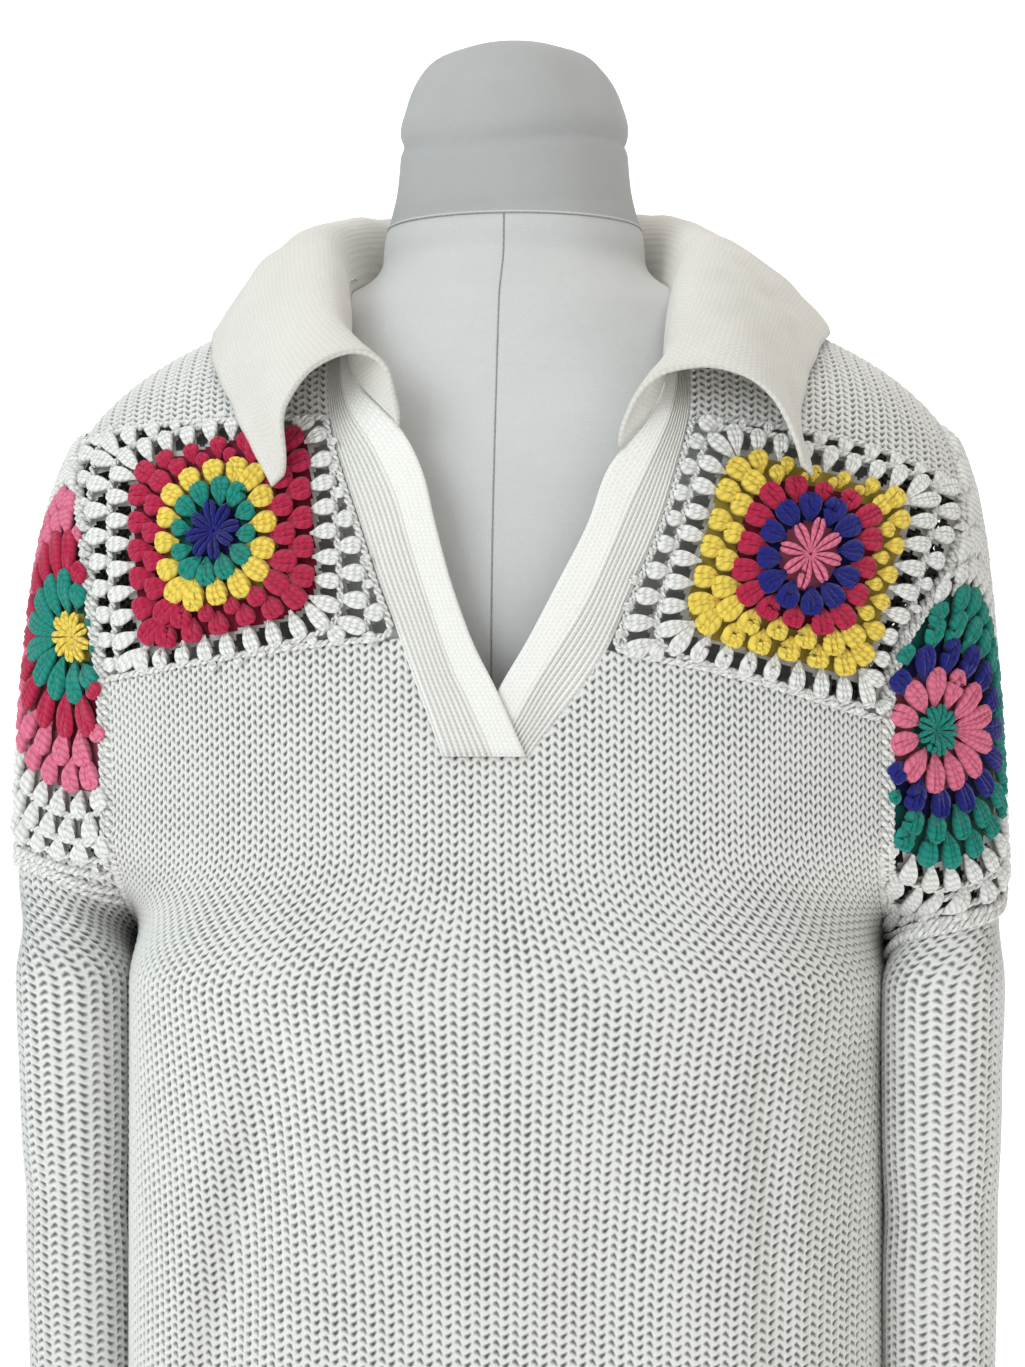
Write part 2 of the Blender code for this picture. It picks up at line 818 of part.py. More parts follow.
def add_bands():
    """The two ribbed neck bands. The right one laps over the left one at the bottom."""
    plain = np.linspace(0.0, BAND_PLAIN, BAND_PLAIN_COLUMNS)
    ribbed = np.linspace(BAND_PLAIN, 1.0, 2 * BAND_RIBS + 1)[1:]
    columns = np.concatenate([plain, ribbed])
    rows = np.linspace(0.0, 1.0, BAND_ROWS)
    groove = BAND_WALL / (BAND_WALL + RIB_RELIEF)
    weights = [groove] * len(plain) + [1.0, groove] * BAND_RIBS
    for side, direction in SIDES.items():
        grid = patch(
            columns,
            rows,
            edge_reader(BAND_INNER[side]),
            edge_reader(BAND_OUTER[side]),
            level_reader(BAND_BOTTOM),
            level_reader(BAND_TOP),
        )
        sheet = []
        for line in grid:
            points = []
            for x, turn in line:
                height = height_at(x, turn)
                lift = LAP_LIFT * ease(LAP_TOP - height, 0.0, LAP_TOP - LAP_FULL)
                lift = (lift if side == "right" else 0.0) - BAND_WALL
                points.append(cloth(x, turn, "front") + lift * cloth_normal(x, turn, "front"))
            sheet.append(points)
        add_sheet(
            f"neck_band_{side}",
            sheet,
            "cream_fine_knit",
            thickness=BAND_WALL + RIB_RELIEF,
            flip=direction < 0,
            ribs=[weights] * len(rows),
        )


# The collar

def collar_station(row, side):
    """Neck point, edge point and the two handles of the curve between them."""
    neck_x, neck_height, edge_x, edge_height, lift, stand_rise, roll_out, roll_rise = row
    neck = cloth_at(neck_x, neck_height, side)
    neck_turn = turn_at(neck_x, neck_height)
    neck = neck + COLLAR_SEAT * cloth_normal(neck_x, float(neck_turn), side)
    edge = cloth_at(edge_x, edge_height, side)
    edge_turn = float(turn_at(edge_x, edge_height))
    edge = edge + lift * cloth_normal(edge_x, edge_turn, side)
    away = edge - neck
    away[2] = 0.0
    away = away / np.linalg.norm(away)
    stand = neck + np.array([0.0, 0.0, stand_rise])
    reach = np.linalg.norm((edge - neck)[:2])
    roll = neck + away * (reach * ROLL_OVER + roll_out * ROLL_OUT)
    roll = roll + np.array([0.0, 0.0, roll_rise])
    return np.concatenate([neck, stand, roll, edge])


def add_collar():
    """The fold-down collar: one strip round the neck, from front end to front end."""
    right = [collar_station(row, "front") for row in COLLAR_STATIONS["right"]]
    left = [collar_station(row, "front") for row in COLLAR_STATIONS["left"]]
    back = [collar_station(row, "back") for row in COLLAR_BACK]
    mirrored = back[0].copy()
    mirrored[0::3] *= -1.0
    stations = right + [mirrored, back[1], back[0]] + left[::-1]
    lines = smooth_rows(stations, steps=COLLAR_STEPS)
    shares = np.linspace(0.0, 1.0, COLLAR_CELLS)
    clears = COLLAR_SEAT + COLLAR_FALL * shares
    grid = []
    for line in lines:
        neck, stand, roll, edge = line.reshape(4, 3)
        points = []
        for share in shares:
            rest = 1.0 - share
            point = rest**3 * neck + 3 * rest**2 * share * stand
            point = point + 3 * rest * share**2 * roll + share**3 * edge
            points.append(point)
        points = resample(np.array(points), shares)
        grid.append([pushed_out(point, clear) for point, clear in zip(points, clears)])
    piece = add_sheet("collar", grid, "cream_fine_knit", thickness=COLLAR_WALL, flip=True)
    piece.modifiers["wall"].offset = 0.0


# Sleeves

def super_ring(angle):
    """A ring that is fuller than an ellipse: its width and depth at each angle, from 1 to -1."""
    power = 2.0 / SLEEVE_POWER
    across = np.sign(np.cos(angle)) * np.abs(np.cos(angle)) ** power
    along = np.sign(np.sin(angle)) * np.abs(np.sin(angle)) ** power
    return across, along


def sleeve_outline(height, side, count=48):
    """The sleeve's outline at a height, from the front seam round the outside to the back seam."""
    closing = ease(CHEST_LEVEL - height, 0.0, CHEST_LEVEL - UNDERARM_LEVEL)
    even = np.linspace(0.0, 1.0, 2 * count - 1)
    _, middle_x, middle_y, thick, depth = [
        look_up(height, TUBE_POINTS[:, 0], TUBE_POINTS[:, k]) for k in range(5)
    ]
    across, along = super_ring(even * 2.0 * math.pi)
    level = np.full(2 * count - 1, height)
    ring = np.stack([middle_x - thick * across, middle_y - depth * along, level], 1)
    closed = resample(ring, even)
    if closing >= 1.0:
        return closed
    edge = armhole_width(height, side)
    width = outline_width(height)
    turned = np.sin(np.linspace(0.0, math.pi / 2.0, count))
    x = mix(edge, width, turned)
    turn = turn_at(x, height)
    front = np.array([cloth(a, b, "front") for a, b in zip(x, turn)])
    back = np.array([cloth(a, b, "back") for a, b in zip(x, turn)])
    front[:, 2] = height
    back[:, 2] = height
    opened = resample(np.vstack([front, back[-2::-1]]), even)
    return mix(opened, closed, closing)


def sleeve_point(side, share, height):
    """A point of the sleeve: share runs from 0 at the front seam to 1 at the back seam."""
    inset = 0.0 if height <= UNDERARM_LEVEL else ARMHOLE_INSET / SLEEVE_OUTLINE
    share = float(np.clip(share, inset, 1.0 - inset))
    near = (max(share - 0.01, 0.0), share, min(share + 0.01, 1.0))
    before, point, after = resample(sleeve_outline(height, side), near)
    ahead = after - before
    inward = np.array([-ahead[1], ahead[0], 0.0])
    inward = inward / np.linalg.norm(inward)
    press = 0.0
    for middle, way, depth, spread in SLEEVE_FOLDS:
        along = math.exp(-(((height - middle) / spread) ** 2))
        around = math.exp(-(((share - way) / FOLD_ROUND) ** 2))
        press += depth * along * around * min(4.0 * share * (1.0 - share), 1.0)
    point = point + inward * press
    point[0] *= SIDES[side]
    return point


def square_seam(side, share):
    """The height of the lower seam of the sleeve's square."""
    seam, rise = SLEEVE_SQUARE_SEAM[side]
    return seam + rise * float(ease(share, 0.0, SEAM_RISE_END))


def add_sleeve_squares():
    last_share = SQUARE_SHARE - ARMHOLE_INSET / SLEEVE_OUTLINE
    shares = np.linspace(0.0, SQUARE_SHARE, SLEEVE_SQUARE_COLUMNS)
    last = len(shares) - 2
    holes = {(row, column) for row in LOWER_GAP_ROWS for column in range(1, last, 2)}
    holes |= {(UPPER_GAP_ROW, column) for column in range(2, last, 2)}
    for side, direction in SIDES.items():
        grid = []
        for part in SLEEVE_SQUARE_ROWS:
            line = []
            for share in shares:
                height = mix(square_seam(side, share) + SLEEVE_SEAM_INSET, SLEEVE_TOP, part)
                line.append(sleeve_point(side, min(share, last_share), height))
            grid.append(line)
        add_sheet(f"sleeve_square_{side}", grid, "crochet", holes=holes, flip=direction < 0)


def add_sleeves():
    """The knitted sleeves. Above the underarm each leaves room for its crochet square."""
    first_share = SQUARE_SHARE + ARMHOLE_INSET / SLEEVE_OUTLINE
    under = np.linspace(0.0, SQUARE_SHARE, SLEEVE_COLUMNS["under the square"])[:-1]
    beside = np.linspace(SQUARE_SHARE, 1.0, SLEEVE_COLUMNS["beside the square"])
    shares = np.concatenate([under, beside])
    tube_rows = np.linspace(CUFF_RIB_TOP + SEAM_INSET, UNDERARM_LEVEL, SLEEVE_TUBE_ROWS)
    joint_parts = np.linspace(0.0, 1.0, SLEEVE_JOINT_ROWS + 1)[1:]
    upper_parts = np.linspace(0.0, 1.0, SLEEVE_UPPER_ROWS + 1)[1:]
    for side, direction in SIDES.items():
        grid = [[sleeve_point(side, share, height) for share in shares] for height in tube_rows]
        seams = [square_seam(side, share) - SLEEVE_SEAM_INSET for share in shares]
        for part in joint_parts:
            line = []
            for share, seam in zip(shares, seams):
                line.append(sleeve_point(side, share, mix(UNDERARM_LEVEL, seam, part)))
            grid.append(line)
        corner_row = len(grid) - 1
        for part in upper_parts:
            line = []
            for share, seam in zip(shares, seams):
                line.append(sleeve_point(side, max(share, first_share), mix(seam, SLEEVE_TOP, part)))
            grid.append(line)
        rows = range(corner_row, len(grid) - 1)
        holes = {(row, column) for row in rows for column in range(len(under))}
        add_sheet(f"sleeve_{side}", grid, "cream_knit", holes=holes, flip=direction < 0)


# Ribs at the hem and the cuffs

def add_hem():
    shares = np.linspace(-1.0, 1.0, HEM_COLUMNS)
    grid = []
    for height in (HEM_HEIGHT, HEM_RIB_TOP - SEAM_INSET):
        line = []
        for side, order in (("front", shares), ("back", shares[::-1])):
            for share in order[:-1]:
                x, y, _ = body_point(share, height, side)
                line.append(np.array([x, y if abs(share) < 0.999 else 0.0, height]))
        grid.append(line)
    add_sheet("hem_rib", grid, "cream_fine_knit", wrap=True)


def add_cuffs():
    shares = np.linspace(0.0, 1.0, CUFF_COLUMNS)[:-1]
    for side, direction in SIDES.items():
        grid = [
            [sleeve_point(side, share, height) for share in shares]
            for height in (CUFF_HEIGHT, CUFF_RIB_TOP - SEAM_INSET)
        ]
        add_sheet(f"cuff_{side}", grid, "cream_fine_knit", wrap=True, flip=direction < 0)


# The dress form

def form_ring(height):
    """The form's outline at a height, as a ring of points."""
    _, torso_width, front, back = [
        look_up(height, TORSO_POINTS[:, 0], TORSO_POINTS[:, k]) for k in range(4)
    ]
    _, neck_width, neck_depth, neck_middle = [
        look_up(height, NECK_POINTS[:, 0], NECK_POINTS[:, k]) for k in range(4)
    ]
    sink = (WALL + FORM_GAP) / math.cos(FORM_SLOPE)
    width = min(torso_width, outline_width(height + sink))
    neck = ease(height, *NECK_START)
    shoulder = ease(height, *SHOULDER_START)
    power = 2.0 / FORM_POWER
    ring = []
    for step in range(FORM_AROUND):
        angle = 2.0 * math.pi * step / FORM_AROUND
        across = math.cos(angle)
        along = math.sin(angle)
        depth = front if along < 0.0 else back
        plain = np.array(
            [
                width * math.copysign(abs(across) ** power, across),
                depth * math.copysign(abs(along) ** power, along),
            ]
        )
        x = width * across
        drop = max((ridge_height(x) - sink - height) / ROUNDING, 0.0)
        turned = (1.0 - max(1.0 - drop, 0.0) ** ROUNDING_POWER) ** (1.0 / ROUNDING_POWER)
        edge = (1.0 - min(abs(across), 0.9999) ** FORM_EDGE_POWER) ** (1.0 / FORM_EDGE_POWER)
        y = depth * side_falloff(x, FORM_SIDE_REACH) * min(turned, 1.0) * edge
        rounded = np.array([x, math.copysign(y, along)])
        point = mix(plain, rounded, shoulder)
        round_neck = np.array([neck_width * across, neck_middle + neck_depth * along])
        point = mix(point, round_neck, neck)
        ring.append((point[0], point[1], height))
    return ring


def add_form():
    mesh = bmesh.new()
    rings = [[mesh.verts.new(point) for point in form_ring(height)] for height in FORM_RINGS]
    for below, above in zip(rings, rings[1:]):
        for step in range(FORM_AROUND):
            after = (step + 1) % FORM_AROUND
            mesh.faces.new([below[step], below[after], above[after], above[step]])
    mesh.faces.new(rings[0][::-1])
    mesh.faces.new(rings[-1])
    data = bpy.data.meshes.new("dress_form")
    mesh.to_mesh(data)
    mesh.free()
    add_object("dress_form", data, "jersey")


def main():
    clear_scene()
    add_form()
    body_panel("front_panel", "front", front_tops())
    body_panel("back_panel", "back", back_tops())
    add_squares()
    add_yokes()
    add_bands()
    add_collar()
    add_sleeve_squares()
    add_sleeves()
    add_hem()
    add_cuffs()


main()
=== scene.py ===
"""The looks of a v-neck sweater in chunky knit with crochet squares, on a limbless dress form.

Metres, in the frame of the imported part: the front faces -Y, up is +Z, the wearer's left is +X.
The tables and the surface functions of the sweater are those of the part's source. On them
lie knitted loops, crocheted yarn, ribs, seams and the form's jersey cover.
"""

import math

import bpy
import numpy as np
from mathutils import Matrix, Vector


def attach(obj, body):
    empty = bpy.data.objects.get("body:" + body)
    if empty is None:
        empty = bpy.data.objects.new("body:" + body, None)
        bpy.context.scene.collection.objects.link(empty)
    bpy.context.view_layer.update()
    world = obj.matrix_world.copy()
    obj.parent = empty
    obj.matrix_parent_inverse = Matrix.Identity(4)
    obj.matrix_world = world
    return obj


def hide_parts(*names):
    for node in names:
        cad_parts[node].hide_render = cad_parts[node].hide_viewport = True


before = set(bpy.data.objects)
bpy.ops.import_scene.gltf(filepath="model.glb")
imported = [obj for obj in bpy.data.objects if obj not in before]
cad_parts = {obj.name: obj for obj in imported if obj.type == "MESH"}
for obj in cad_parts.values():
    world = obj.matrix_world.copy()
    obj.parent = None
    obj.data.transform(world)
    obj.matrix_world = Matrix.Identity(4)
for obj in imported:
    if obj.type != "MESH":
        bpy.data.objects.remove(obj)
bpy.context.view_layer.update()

# Cloth
WALL = 0.003
COLLAR_WALL = 0.0026
BAND_WALL = 0.0024
SEAM_INSET = 0.00025
ARMHOLE_INSET = 0.0009
SLEEVE_SEAM_INSET = 0.0006

# Near the ridge, a turn of 1 moves the cloth by this
SEAM_TURN_REACH = 0.1

# The whole is moved back by this, which puts the middle of its depth on the origin
MIDDLE_SHIFT = 0.00915

# Levels
HEM_HEIGHT = 0.060
HEM_RIB_TOP = 0.095
CUFF_HEIGHT = 0.085
CUFF_RIB_TOP = 0.130
CHEST_LEVEL = 0.450
UNDERARM_LEVEL = 0.372
SHOULDER_TIP = 0.653
SLEEVE_TOP = 0.651

# The shoulder: the outline from the front, and how the cloth rounds over it
SHOULDER_LINE = (
    # half width, height
    (0.000, 0.800),
    (0.030, 0.790),
    (0.055, 0.765),
    (0.075, 0.744),
    (0.100, 0.731),
    (0.150, 0.709),
    (0.185, 0.691),
    (0.210, 0.672),
    (0.226, 0.652),
    (0.236, 0.625),
    (0.243, 0.580),
    (0.248, 0.520),
    (0.251, 0.450),
    (0.252, 0.360),
)
ROUNDING = 0.120
ROUNDING_POWER = 2.2
SIDE_REACH = 0.264
SIDE_POWER = 2.6

FRONT_DEPTH = (
    # height, depth
    (0.040, 0.150),
    (0.200, 0.149),
    (0.350, 0.150),
    (0.480, 0.150),
    (0.560, 0.148),
    (0.610, 0.142),
    (0.660, 0.130),
    (0.700, 0.117),
    (0.750, 0.104),
    (0.810, 0.095),
)
BACK_DEPTH = (
    # height, depth
    (0.040, 0.132),
    (0.200, 0.130),
    (0.350, 0.128),
    (0.480, 0.132),
    (0.560, 0.134),
    (0.620, 0.130),
    (0.680, 0.116),
    (0.720, 0.104),
    (0.750, 0.092),
    (0.810, 0.085),
)
BODY_HALF_WIDTH = 0.1950
BODY_POWER = 3.4
HALF_OUTLINE = 0.26

# The armholes, one for each side of the body: the wearer's right first. They are alike
# below the chest.
SIDES = {"right": -1.0, "left": 1.0}
ARMHOLE = {
    # height, half width
    "right": (
        (0.3600, 0.1900),
        (0.4500, 0.1890),
        (0.4700, 0.1890),
        (0.5208, 0.1916),
        (0.5479, 0.1960),
        (0.5805, 0.2015),
        (0.6006, 0.2065),
        (0.6235, 0.2145),
        (0.6530, 0.2222),
    ),
    "left": (
        (0.3600, 0.1900),
        (0.4500, 0.1890),
        (0.4700, 0.1890),
        (0.5161, 0.1893),
        (0.5305, 0.1920),
        (0.5449, 0.1975),
        (0.5644, 0.2105),
        (0.5845, 0.2225),
        (0.6052, 0.2285),
        (0.6280, 0.2280),
        (0.6530, 0.2222),
    ),
}

# The lower sleeve, a flat empty tube that hangs beside the body
SLEEVE_TUBE = (
    # height, middle x, middle y, half thickness, half depth
    (0.060, 0.2215, -0.004, 0.0255, 0.062),
    (0.130, 0.2220, -0.004, 0.0260, 0.068),
    (0.250, 0.2228, -0.006, 0.0272, 0.078),
    (0.372, 0.2240, -0.004, 0.0290, 0.092),
    (0.450, 0.2250, -0.002, 0.0280, 0.100),
)
SLEEVE_POWER = 3.2
SLEEVE_OUTLINE = 0.30

# The sleeve's crochet square covers this share of the way round, from the front seam
SQUARE_SHARE = 0.56
SLEEVE_SQUARE_SEAM = {
    # wearer's side: height of the square's lower seam at the front, and its rise outwards
    "right": (0.432, 0.012),
    "left": (0.398, 0.026),
}
SEAM_RISE_END = 0.35

# Soft folds: troughs where the depth is above 0, ridges where it is below
BODY_FOLDS = (
    # side, top x, top height, bottom x, bottom height, depth, width
    ("front", -0.096, 0.385, -0.160, 0.060, 0.0150, 0.018),
    ("front", 0.131, 0.400, 0.142, 0.060, 0.0060, 0.010),
    ("front", 0.060, 0.330, 0.040, 0.060, 0.0050, 0.030),
    ("front", -0.150, 0.300, -0.165, 0.060, -0.0040, 0.020),
    ("back", -0.070, 0.400, -0.100, 0.060, 0.0070, 0.026),
    ("back", 0.090, 0.420, 0.075, 0.060, 0.0060, 0.022),
    ("back", 0.010, 0.350, -0.010, 0.060, -0.0040, 0.030),
    ("back", 0.150, 0.300, 0.160, 0.060, -0.0040, 0.020),
)
SLEEVE_FOLDS = (
    # height, way round, depth, height spread
    (0.400, 0.30, 0.0040, 0.016),
    (0.335, 0.62, 0.0045, 0.018),
    (0.260, 0.20, 0.0030, 0.020),
    (0.190, 0.70, 0.0035, 0.022),
)
FOLD_ROUND = 0.16

# Beyond this line the front falls back towards the wearer's left side
CREASE_X = 0.124
CREASE_TOP = 0.43
CREASE_REACH = 0.055
CREASE_DEPTH = 0.014

# The lower sleeve's corners press against the body
SLEEVE_PRESS = 0.008

# Front seams, one set for each side of the body
SQUARE_LOWER = {
    # half width, height
    "right": ((0.030, 0.5450), (0.080, 0.5415), (0.140, 0.5330), (0.200, 0.5225)),
    "left": ((0.030, 0.5435), (0.063, 0.5375), (0.120, 0.5257), (0.200, 0.5010)),
}
SQUARE_UPPER = {
    "right": ((0.060, 0.6545), (0.120, 0.6545), (0.180, 0.6535), (0.224, 0.6470)),
    "left": ((0.060, 0.6520), (0.120, 0.6515), (0.180, 0.6415), (0.229, 0.6240)),
}
BAND_OUTER = {
    # x, height
    "right": (
        (-0.0200, 0.480),
        (-0.0225, 0.492),
        (-0.0330, 0.521),
        (-0.0420, 0.545),
        (-0.0525, 0.572),
        (-0.0620, 0.600),
        (-0.0720, 0.628),
        (-0.0800, 0.655),
        (-0.0835, 0.690),
        (-0.0845, 0.730),
    ),
    "left": (
        (0.0160, 0.480),
        (0.0230, 0.492),
        (0.0460, 0.521),
        (0.0600, 0.545),
        (0.0710, 0.572),
        (0.0825, 0.600),
        (0.0905, 0.628),
        (0.0960, 0.655),
        (0.0945, 0.690),
        (0.0900, 0.730),
    ),
}
BAND_INNER = {
    "right": (
        (0.0235, 0.480),
        (0.0180, 0.492),
        (0.0050, 0.521),
        (-0.0070, 0.545),
        (-0.0170, 0.572),
        (-0.0250, 0.600),
        (-0.0325, 0.628),
        (-0.0450, 0.650),
        (-0.0665, 0.672),
        (-0.0750, 0.700),
        (-0.0790, 0.730),
    ),
    "left": (
        (-0.0150, 0.480),
        (-0.0090, 0.492),
        (0.0050, 0.521),
        (0.0190, 0.545),
        (0.0330, 0.572),
        (0.0470, 0.600),
        (0.0570, 0.628),
        (0.0740, 0.650),
        (0.0835, 0.672),
        (0.0850, 0.700),
        (0.0845, 0.730),
    ),
}
BAND_BOTTOM = 0.4890
BAND_TOP = 0.7000

# The right band laps over the left one
LAP_TOP = 0.560
LAP_FULL = 0.530
LAP_LIFT = BAND_WALL + 0.0010

# The yoke's inner edge is read from the band's outer edge above this height
YOKE_EDGE_START = 0.62

# Back neck
NECK_CORNER = 0.0840
BACK_NECK = (
    # half width, height
    (0.000, 0.7440),
    (0.030, 0.7450),
    (0.060, 0.7460),
    (0.084, 0.7385),
)

# The collar, in stations from the front end over the shoulder to the middle of the back.
# The cloth rises from the neck seam and rolls over to the outer edge.
COLLAR_STATIONS = {
    "right": (
        # neck x, height, edge x, height, edge lift, stand rise, roll out, roll rise
        (-0.0440, 0.6480, -0.1050, 0.6190, 0.006, 0.030, 0.020, 0.062),
        (-0.0690, 0.6760, -0.1240, 0.6500, 0.004, 0.036, 0.020, 0.048),
        (-0.0775, 0.7120, -0.1430, 0.6830, 0.004, 0.038, 0.028, 0.036),
        (-0.0840, 0.7380, -0.1510, 0.7085, 0.004, 0.043, 0.030, 0.033),
    ),
    "left": (
        (0.0620, 0.6360, 0.1525, 0.6230, 0.006, 0.030, 0.030, 0.062),
        (0.0810, 0.6640, 0.1480, 0.6520, 0.004, 0.036, 0.028, 0.048),
        (0.0855, 0.7100, 0.1560, 0.6850, 0.004, 0.030, 0.030, 0.032),
        (0.0840, 0.7380, 0.1600, 0.7045, 0.004, 0.030, 0.030, 0.026),
    ),
}
COLLAR_BACK = (
    # neck x, height, edge x, height, edge lift, stand rise, roll out, roll rise
    (0.0560, 0.7470, 0.1050, 0.7000, 0.004, 0.046, 0.024, 0.048),
    (0.0000, 0.7440, 0.0000, 0.7050, 0.004, 0.048, 0.016, 0.048),
)

# The gap from the cloth below to the middle of the collar's wall, at the seam, and its growth
COLLAR_SEAT = 0.0014
COLLAR_FALL = 0.0020

# How far over the fall the collar's roll lies, and how much of the roll out goes with it
ROLL_OVER = 0.36
ROLL_OUT = 0.30

# The dress form
FORM_GAP = 0.0008
FORM_TORSO = (
    # height, half width, front depth, back depth
    (0.000, 0.164, 0.112, 0.104),
    (0.060, 0.168, 0.114, 0.108),
    (0.140, 0.166, 0.112, 0.110),
    (0.240, 0.146, 0.100, 0.098),
    (0.330, 0.133, 0.094, 0.088),
    (0.420, 0.147, 0.108, 0.094),
    (0.500, 0.163, 0.124, 0.102),
    (0.560, 0.173, 0.126, 0.108),
    (0.610, 0.182, 0.118, 0.110),
    (0.650, 0.188, 0.108, 0.104),
    (0.680, 0.190, 0.099, 0.096),
    (0.720, 0.200, 0.090, 0.084),
    (0.760, 0.200, 0.084, 0.076),
    (0.810, 0.200, 0.080, 0.072),
)
FORM_NECK = (
    # height, half width, half depth, middle y
    (0.700, 0.0900, 0.0760, 0.004),
    (0.728, 0.0755, 0.0640, 0.000),
    (0.742, 0.0700, 0.0620, 0.001),
    (0.758, 0.0680, 0.0620, 0.002),
    (0.782, 0.0620, 0.0590, 0.002),
    (0.808, 0.0595, 0.0575, 0.002),
    (0.826, 0.0570, 0.0550, 0.002),
    (0.842, 0.0500, 0.0485, 0.002),
    (0.853, 0.0390, 0.0380, 0.002),
    (0.859, 0.0230, 0.0225, 0.002),
)
FORM_POWER = 2.4
FORM_SIDE_REACH = 0.205
FORM_EDGE_POWER = 6.0

# Heights over which the torso turns into the shoulders, and these into the neck
SHOULDER_START = (0.560, 0.640)
NECK_START = (0.716, 0.750)
FORM_SLOPE = math.radians(25.0)


def smooth_rows(rows, steps=16):
    """Points on a smooth curve through the rows of a table (Catmull-Rom)."""
    rows = np.array(rows, float)
    padded = np.vstack([2 * rows[0] - rows[1], rows, 2 * rows[-1] - rows[-2]])
    share = np.linspace(0.0, 1.0, steps, endpoint=False)[:, None]
    runs = []
    for before, start, end, after in zip(padded, padded[1:], padded[2:], padded[3:]):
        runs.append(
            start
            + 0.5 * share * (end - before)
            + share**2 * (before - 2.5 * start + 2 * end - 0.5 * after)
            + 0.5 * share**3 * (3 * start - before - 3 * end + after)
        )
    return np.vstack(runs + [rows[-1:]])


def look_up(value, keys, results):
    """Linear look-up in points whose keys rise or fall."""
    if keys[0] > keys[-1]:
        keys = keys[::-1]
        results = results[::-1]
    return np.interp(value, keys, results)


def ease(value, start, end):
    """0 at start, 1 at end, smooth between."""
    share = np.clip((value - start) / (end - start), 0.0, 1.0)
    return share * share * (3.0 - 2.0 * share)


def mix(first, second, share):
    return first + (second - first) * share


SHOULDER_POINTS = smooth_rows(SHOULDER_LINE)
FRONT_POINTS = smooth_rows(FRONT_DEPTH)
BACK_POINTS = smooth_rows(BACK_DEPTH)
ARMHOLE_POINTS = {side: smooth_rows(rows) for side, rows in ARMHOLE.items()}
TUBE_POINTS = smooth_rows(SLEEVE_TUBE)
TORSO_POINTS = smooth_rows(FORM_TORSO)
NECK_POINTS = smooth_rows(FORM_NECK)


def ridge_height(x):
    return look_up(np.abs(x), SHOULDER_POINTS[:, 0], SHOULDER_POINTS[:, 1])


def outline_width(height):
    return look_up(height, SHOULDER_POINTS[:, 1], SHOULDER_POINTS[:, 0])


def armhole_width(height, side="left"):
    points = ARMHOLE_POINTS[side]
    return look_up(height, points[:, 0], points[:, 1])


def cloth_depth(height, side):
    points = FRONT_POINTS if side == "front" else BACK_POINTS
    return look_up(height, points[:, 0], points[:, 1])


def side_falloff(x, reach):
    return (1.0 - np.clip(np.abs(x) / reach, 0.0, 0.999) ** SIDE_POWER) ** (1.0 / SIDE_POWER)


def turn_at(x, height):
    """The turn over the shoulder of the cloth at this x and height."""
    drop = np.maximum((ridge_height(x) - height) / ROUNDING, 0.0)
    near = np.arccos(np.clip(1.0 - drop, 0.0, 1.0) ** (ROUNDING_POWER / 2.0))
    return np.where(drop < 1.0, near, math.pi / 2.0 + drop - 1.0)


def height_at(x, turn):
    near = 1.0 - np.clip(np.cos(turn), 0.0, 1.0) ** (2.0 / ROUNDING_POWER)
    drop = np.where(turn < math.pi / 2.0, near, 1.0 + turn - math.pi / 2.0)
    return ridge_height(x) - ROUNDING * drop


def fold_depth(x, height, side):
    """How far the soft folds press the body's cloth in."""
    total = 0.0
    for where, top_x, top, bottom_x, bottom, depth, width in BODY_FOLDS:
        if where != side:
            continue
        share = (top - height) / (top - bottom)
        middle = mix(top_x, bottom_x, share)
        total += depth * ease(share, 0.0, 0.34) * np.exp(-(((x - middle) / width) ** 2))
    if side == "front":
        turned = ease(x, CREASE_X, CREASE_X + CREASE_REACH) * ease(CREASE_TOP - height, 0.0, 0.10)
        total += CREASE_DEPTH * turned
    return total


def cloth(x, turn, side):
    """A point of the upper body's outer surface."""
    height = height_at(x, turn)
    rise = np.sin(np.minimum(turn, math.pi / 2.0)) ** (2.0 / ROUNDING_POWER)
    depth = cloth_depth(height, side) * side_falloff(x, SIDE_REACH) * rise
    forward = -1.0 if side == "front" else 1.0
    depth = depth - fold_depth(x, height, side)
    return np.array([x, forward * depth, height])


def cloth_at(x, height, side):
    return cloth(x, turn_at(x, height), side)


def cloth_normal(x, turn, side):
    """The outward direction of the upper body's surface."""
    step = 0.002
    above = max(turn - step / ROUNDING, 0.0)
    along = cloth(x + step, turn, side) - cloth(x - step, turn, side)
    down = cloth(x, turn + step / ROUNDING, side) - cloth(x, above, side)
    normal = np.cross(down, along) if side == "front" else np.cross(along, down)
    return normal / np.linalg.norm(normal)


def above_cloth(point):
    """Roughly how far a point is outside the upper body's surface, and the way out."""

    def level(place):
        x, y, height = place
        side = "front" if y < 0.0 else "back"
        depth = cloth_depth(height, side) * side_falloff(x, SIDE_REACH)
        drop = (ridge_height(x) - height) / ROUNDING
        rounded = max(1.0 - drop, 0.0) ** ROUNDING_POWER
        return (abs(y) / depth) ** ROUNDING_POWER + rounded - 1.0

    step = 0.001
    here = level(point)
    slope = np.array(
        [
            (level(point + step * axis) - level(point - step * axis)) / (2 * step)
            for axis in np.eye(3)
        ]
    )
    size = np.linalg.norm(slope)
    return here / size, slope / size


def pushed_out(point, clear):
    """The point, moved out until it is at least this far above the upper body's cloth."""
    for _ in range(6):
        distance, way_out = above_cloth(point)
        if distance >= clear:
            break
        point = point + way_out * (clear - distance)
    return point


def run_along(line):
    """The distance from a line's start to each of its points."""
    steps = np.linalg.norm(np.diff(line, axis=0), axis=1)
    return np.concatenate([[0.0], np.cumsum(steps)])


def unit(vectors):
    """Rows of vectors, each brought to length 1."""
    return vectors / np.maximum(np.linalg.norm(vectors, axis=-1, keepdims=True), 1e-9)


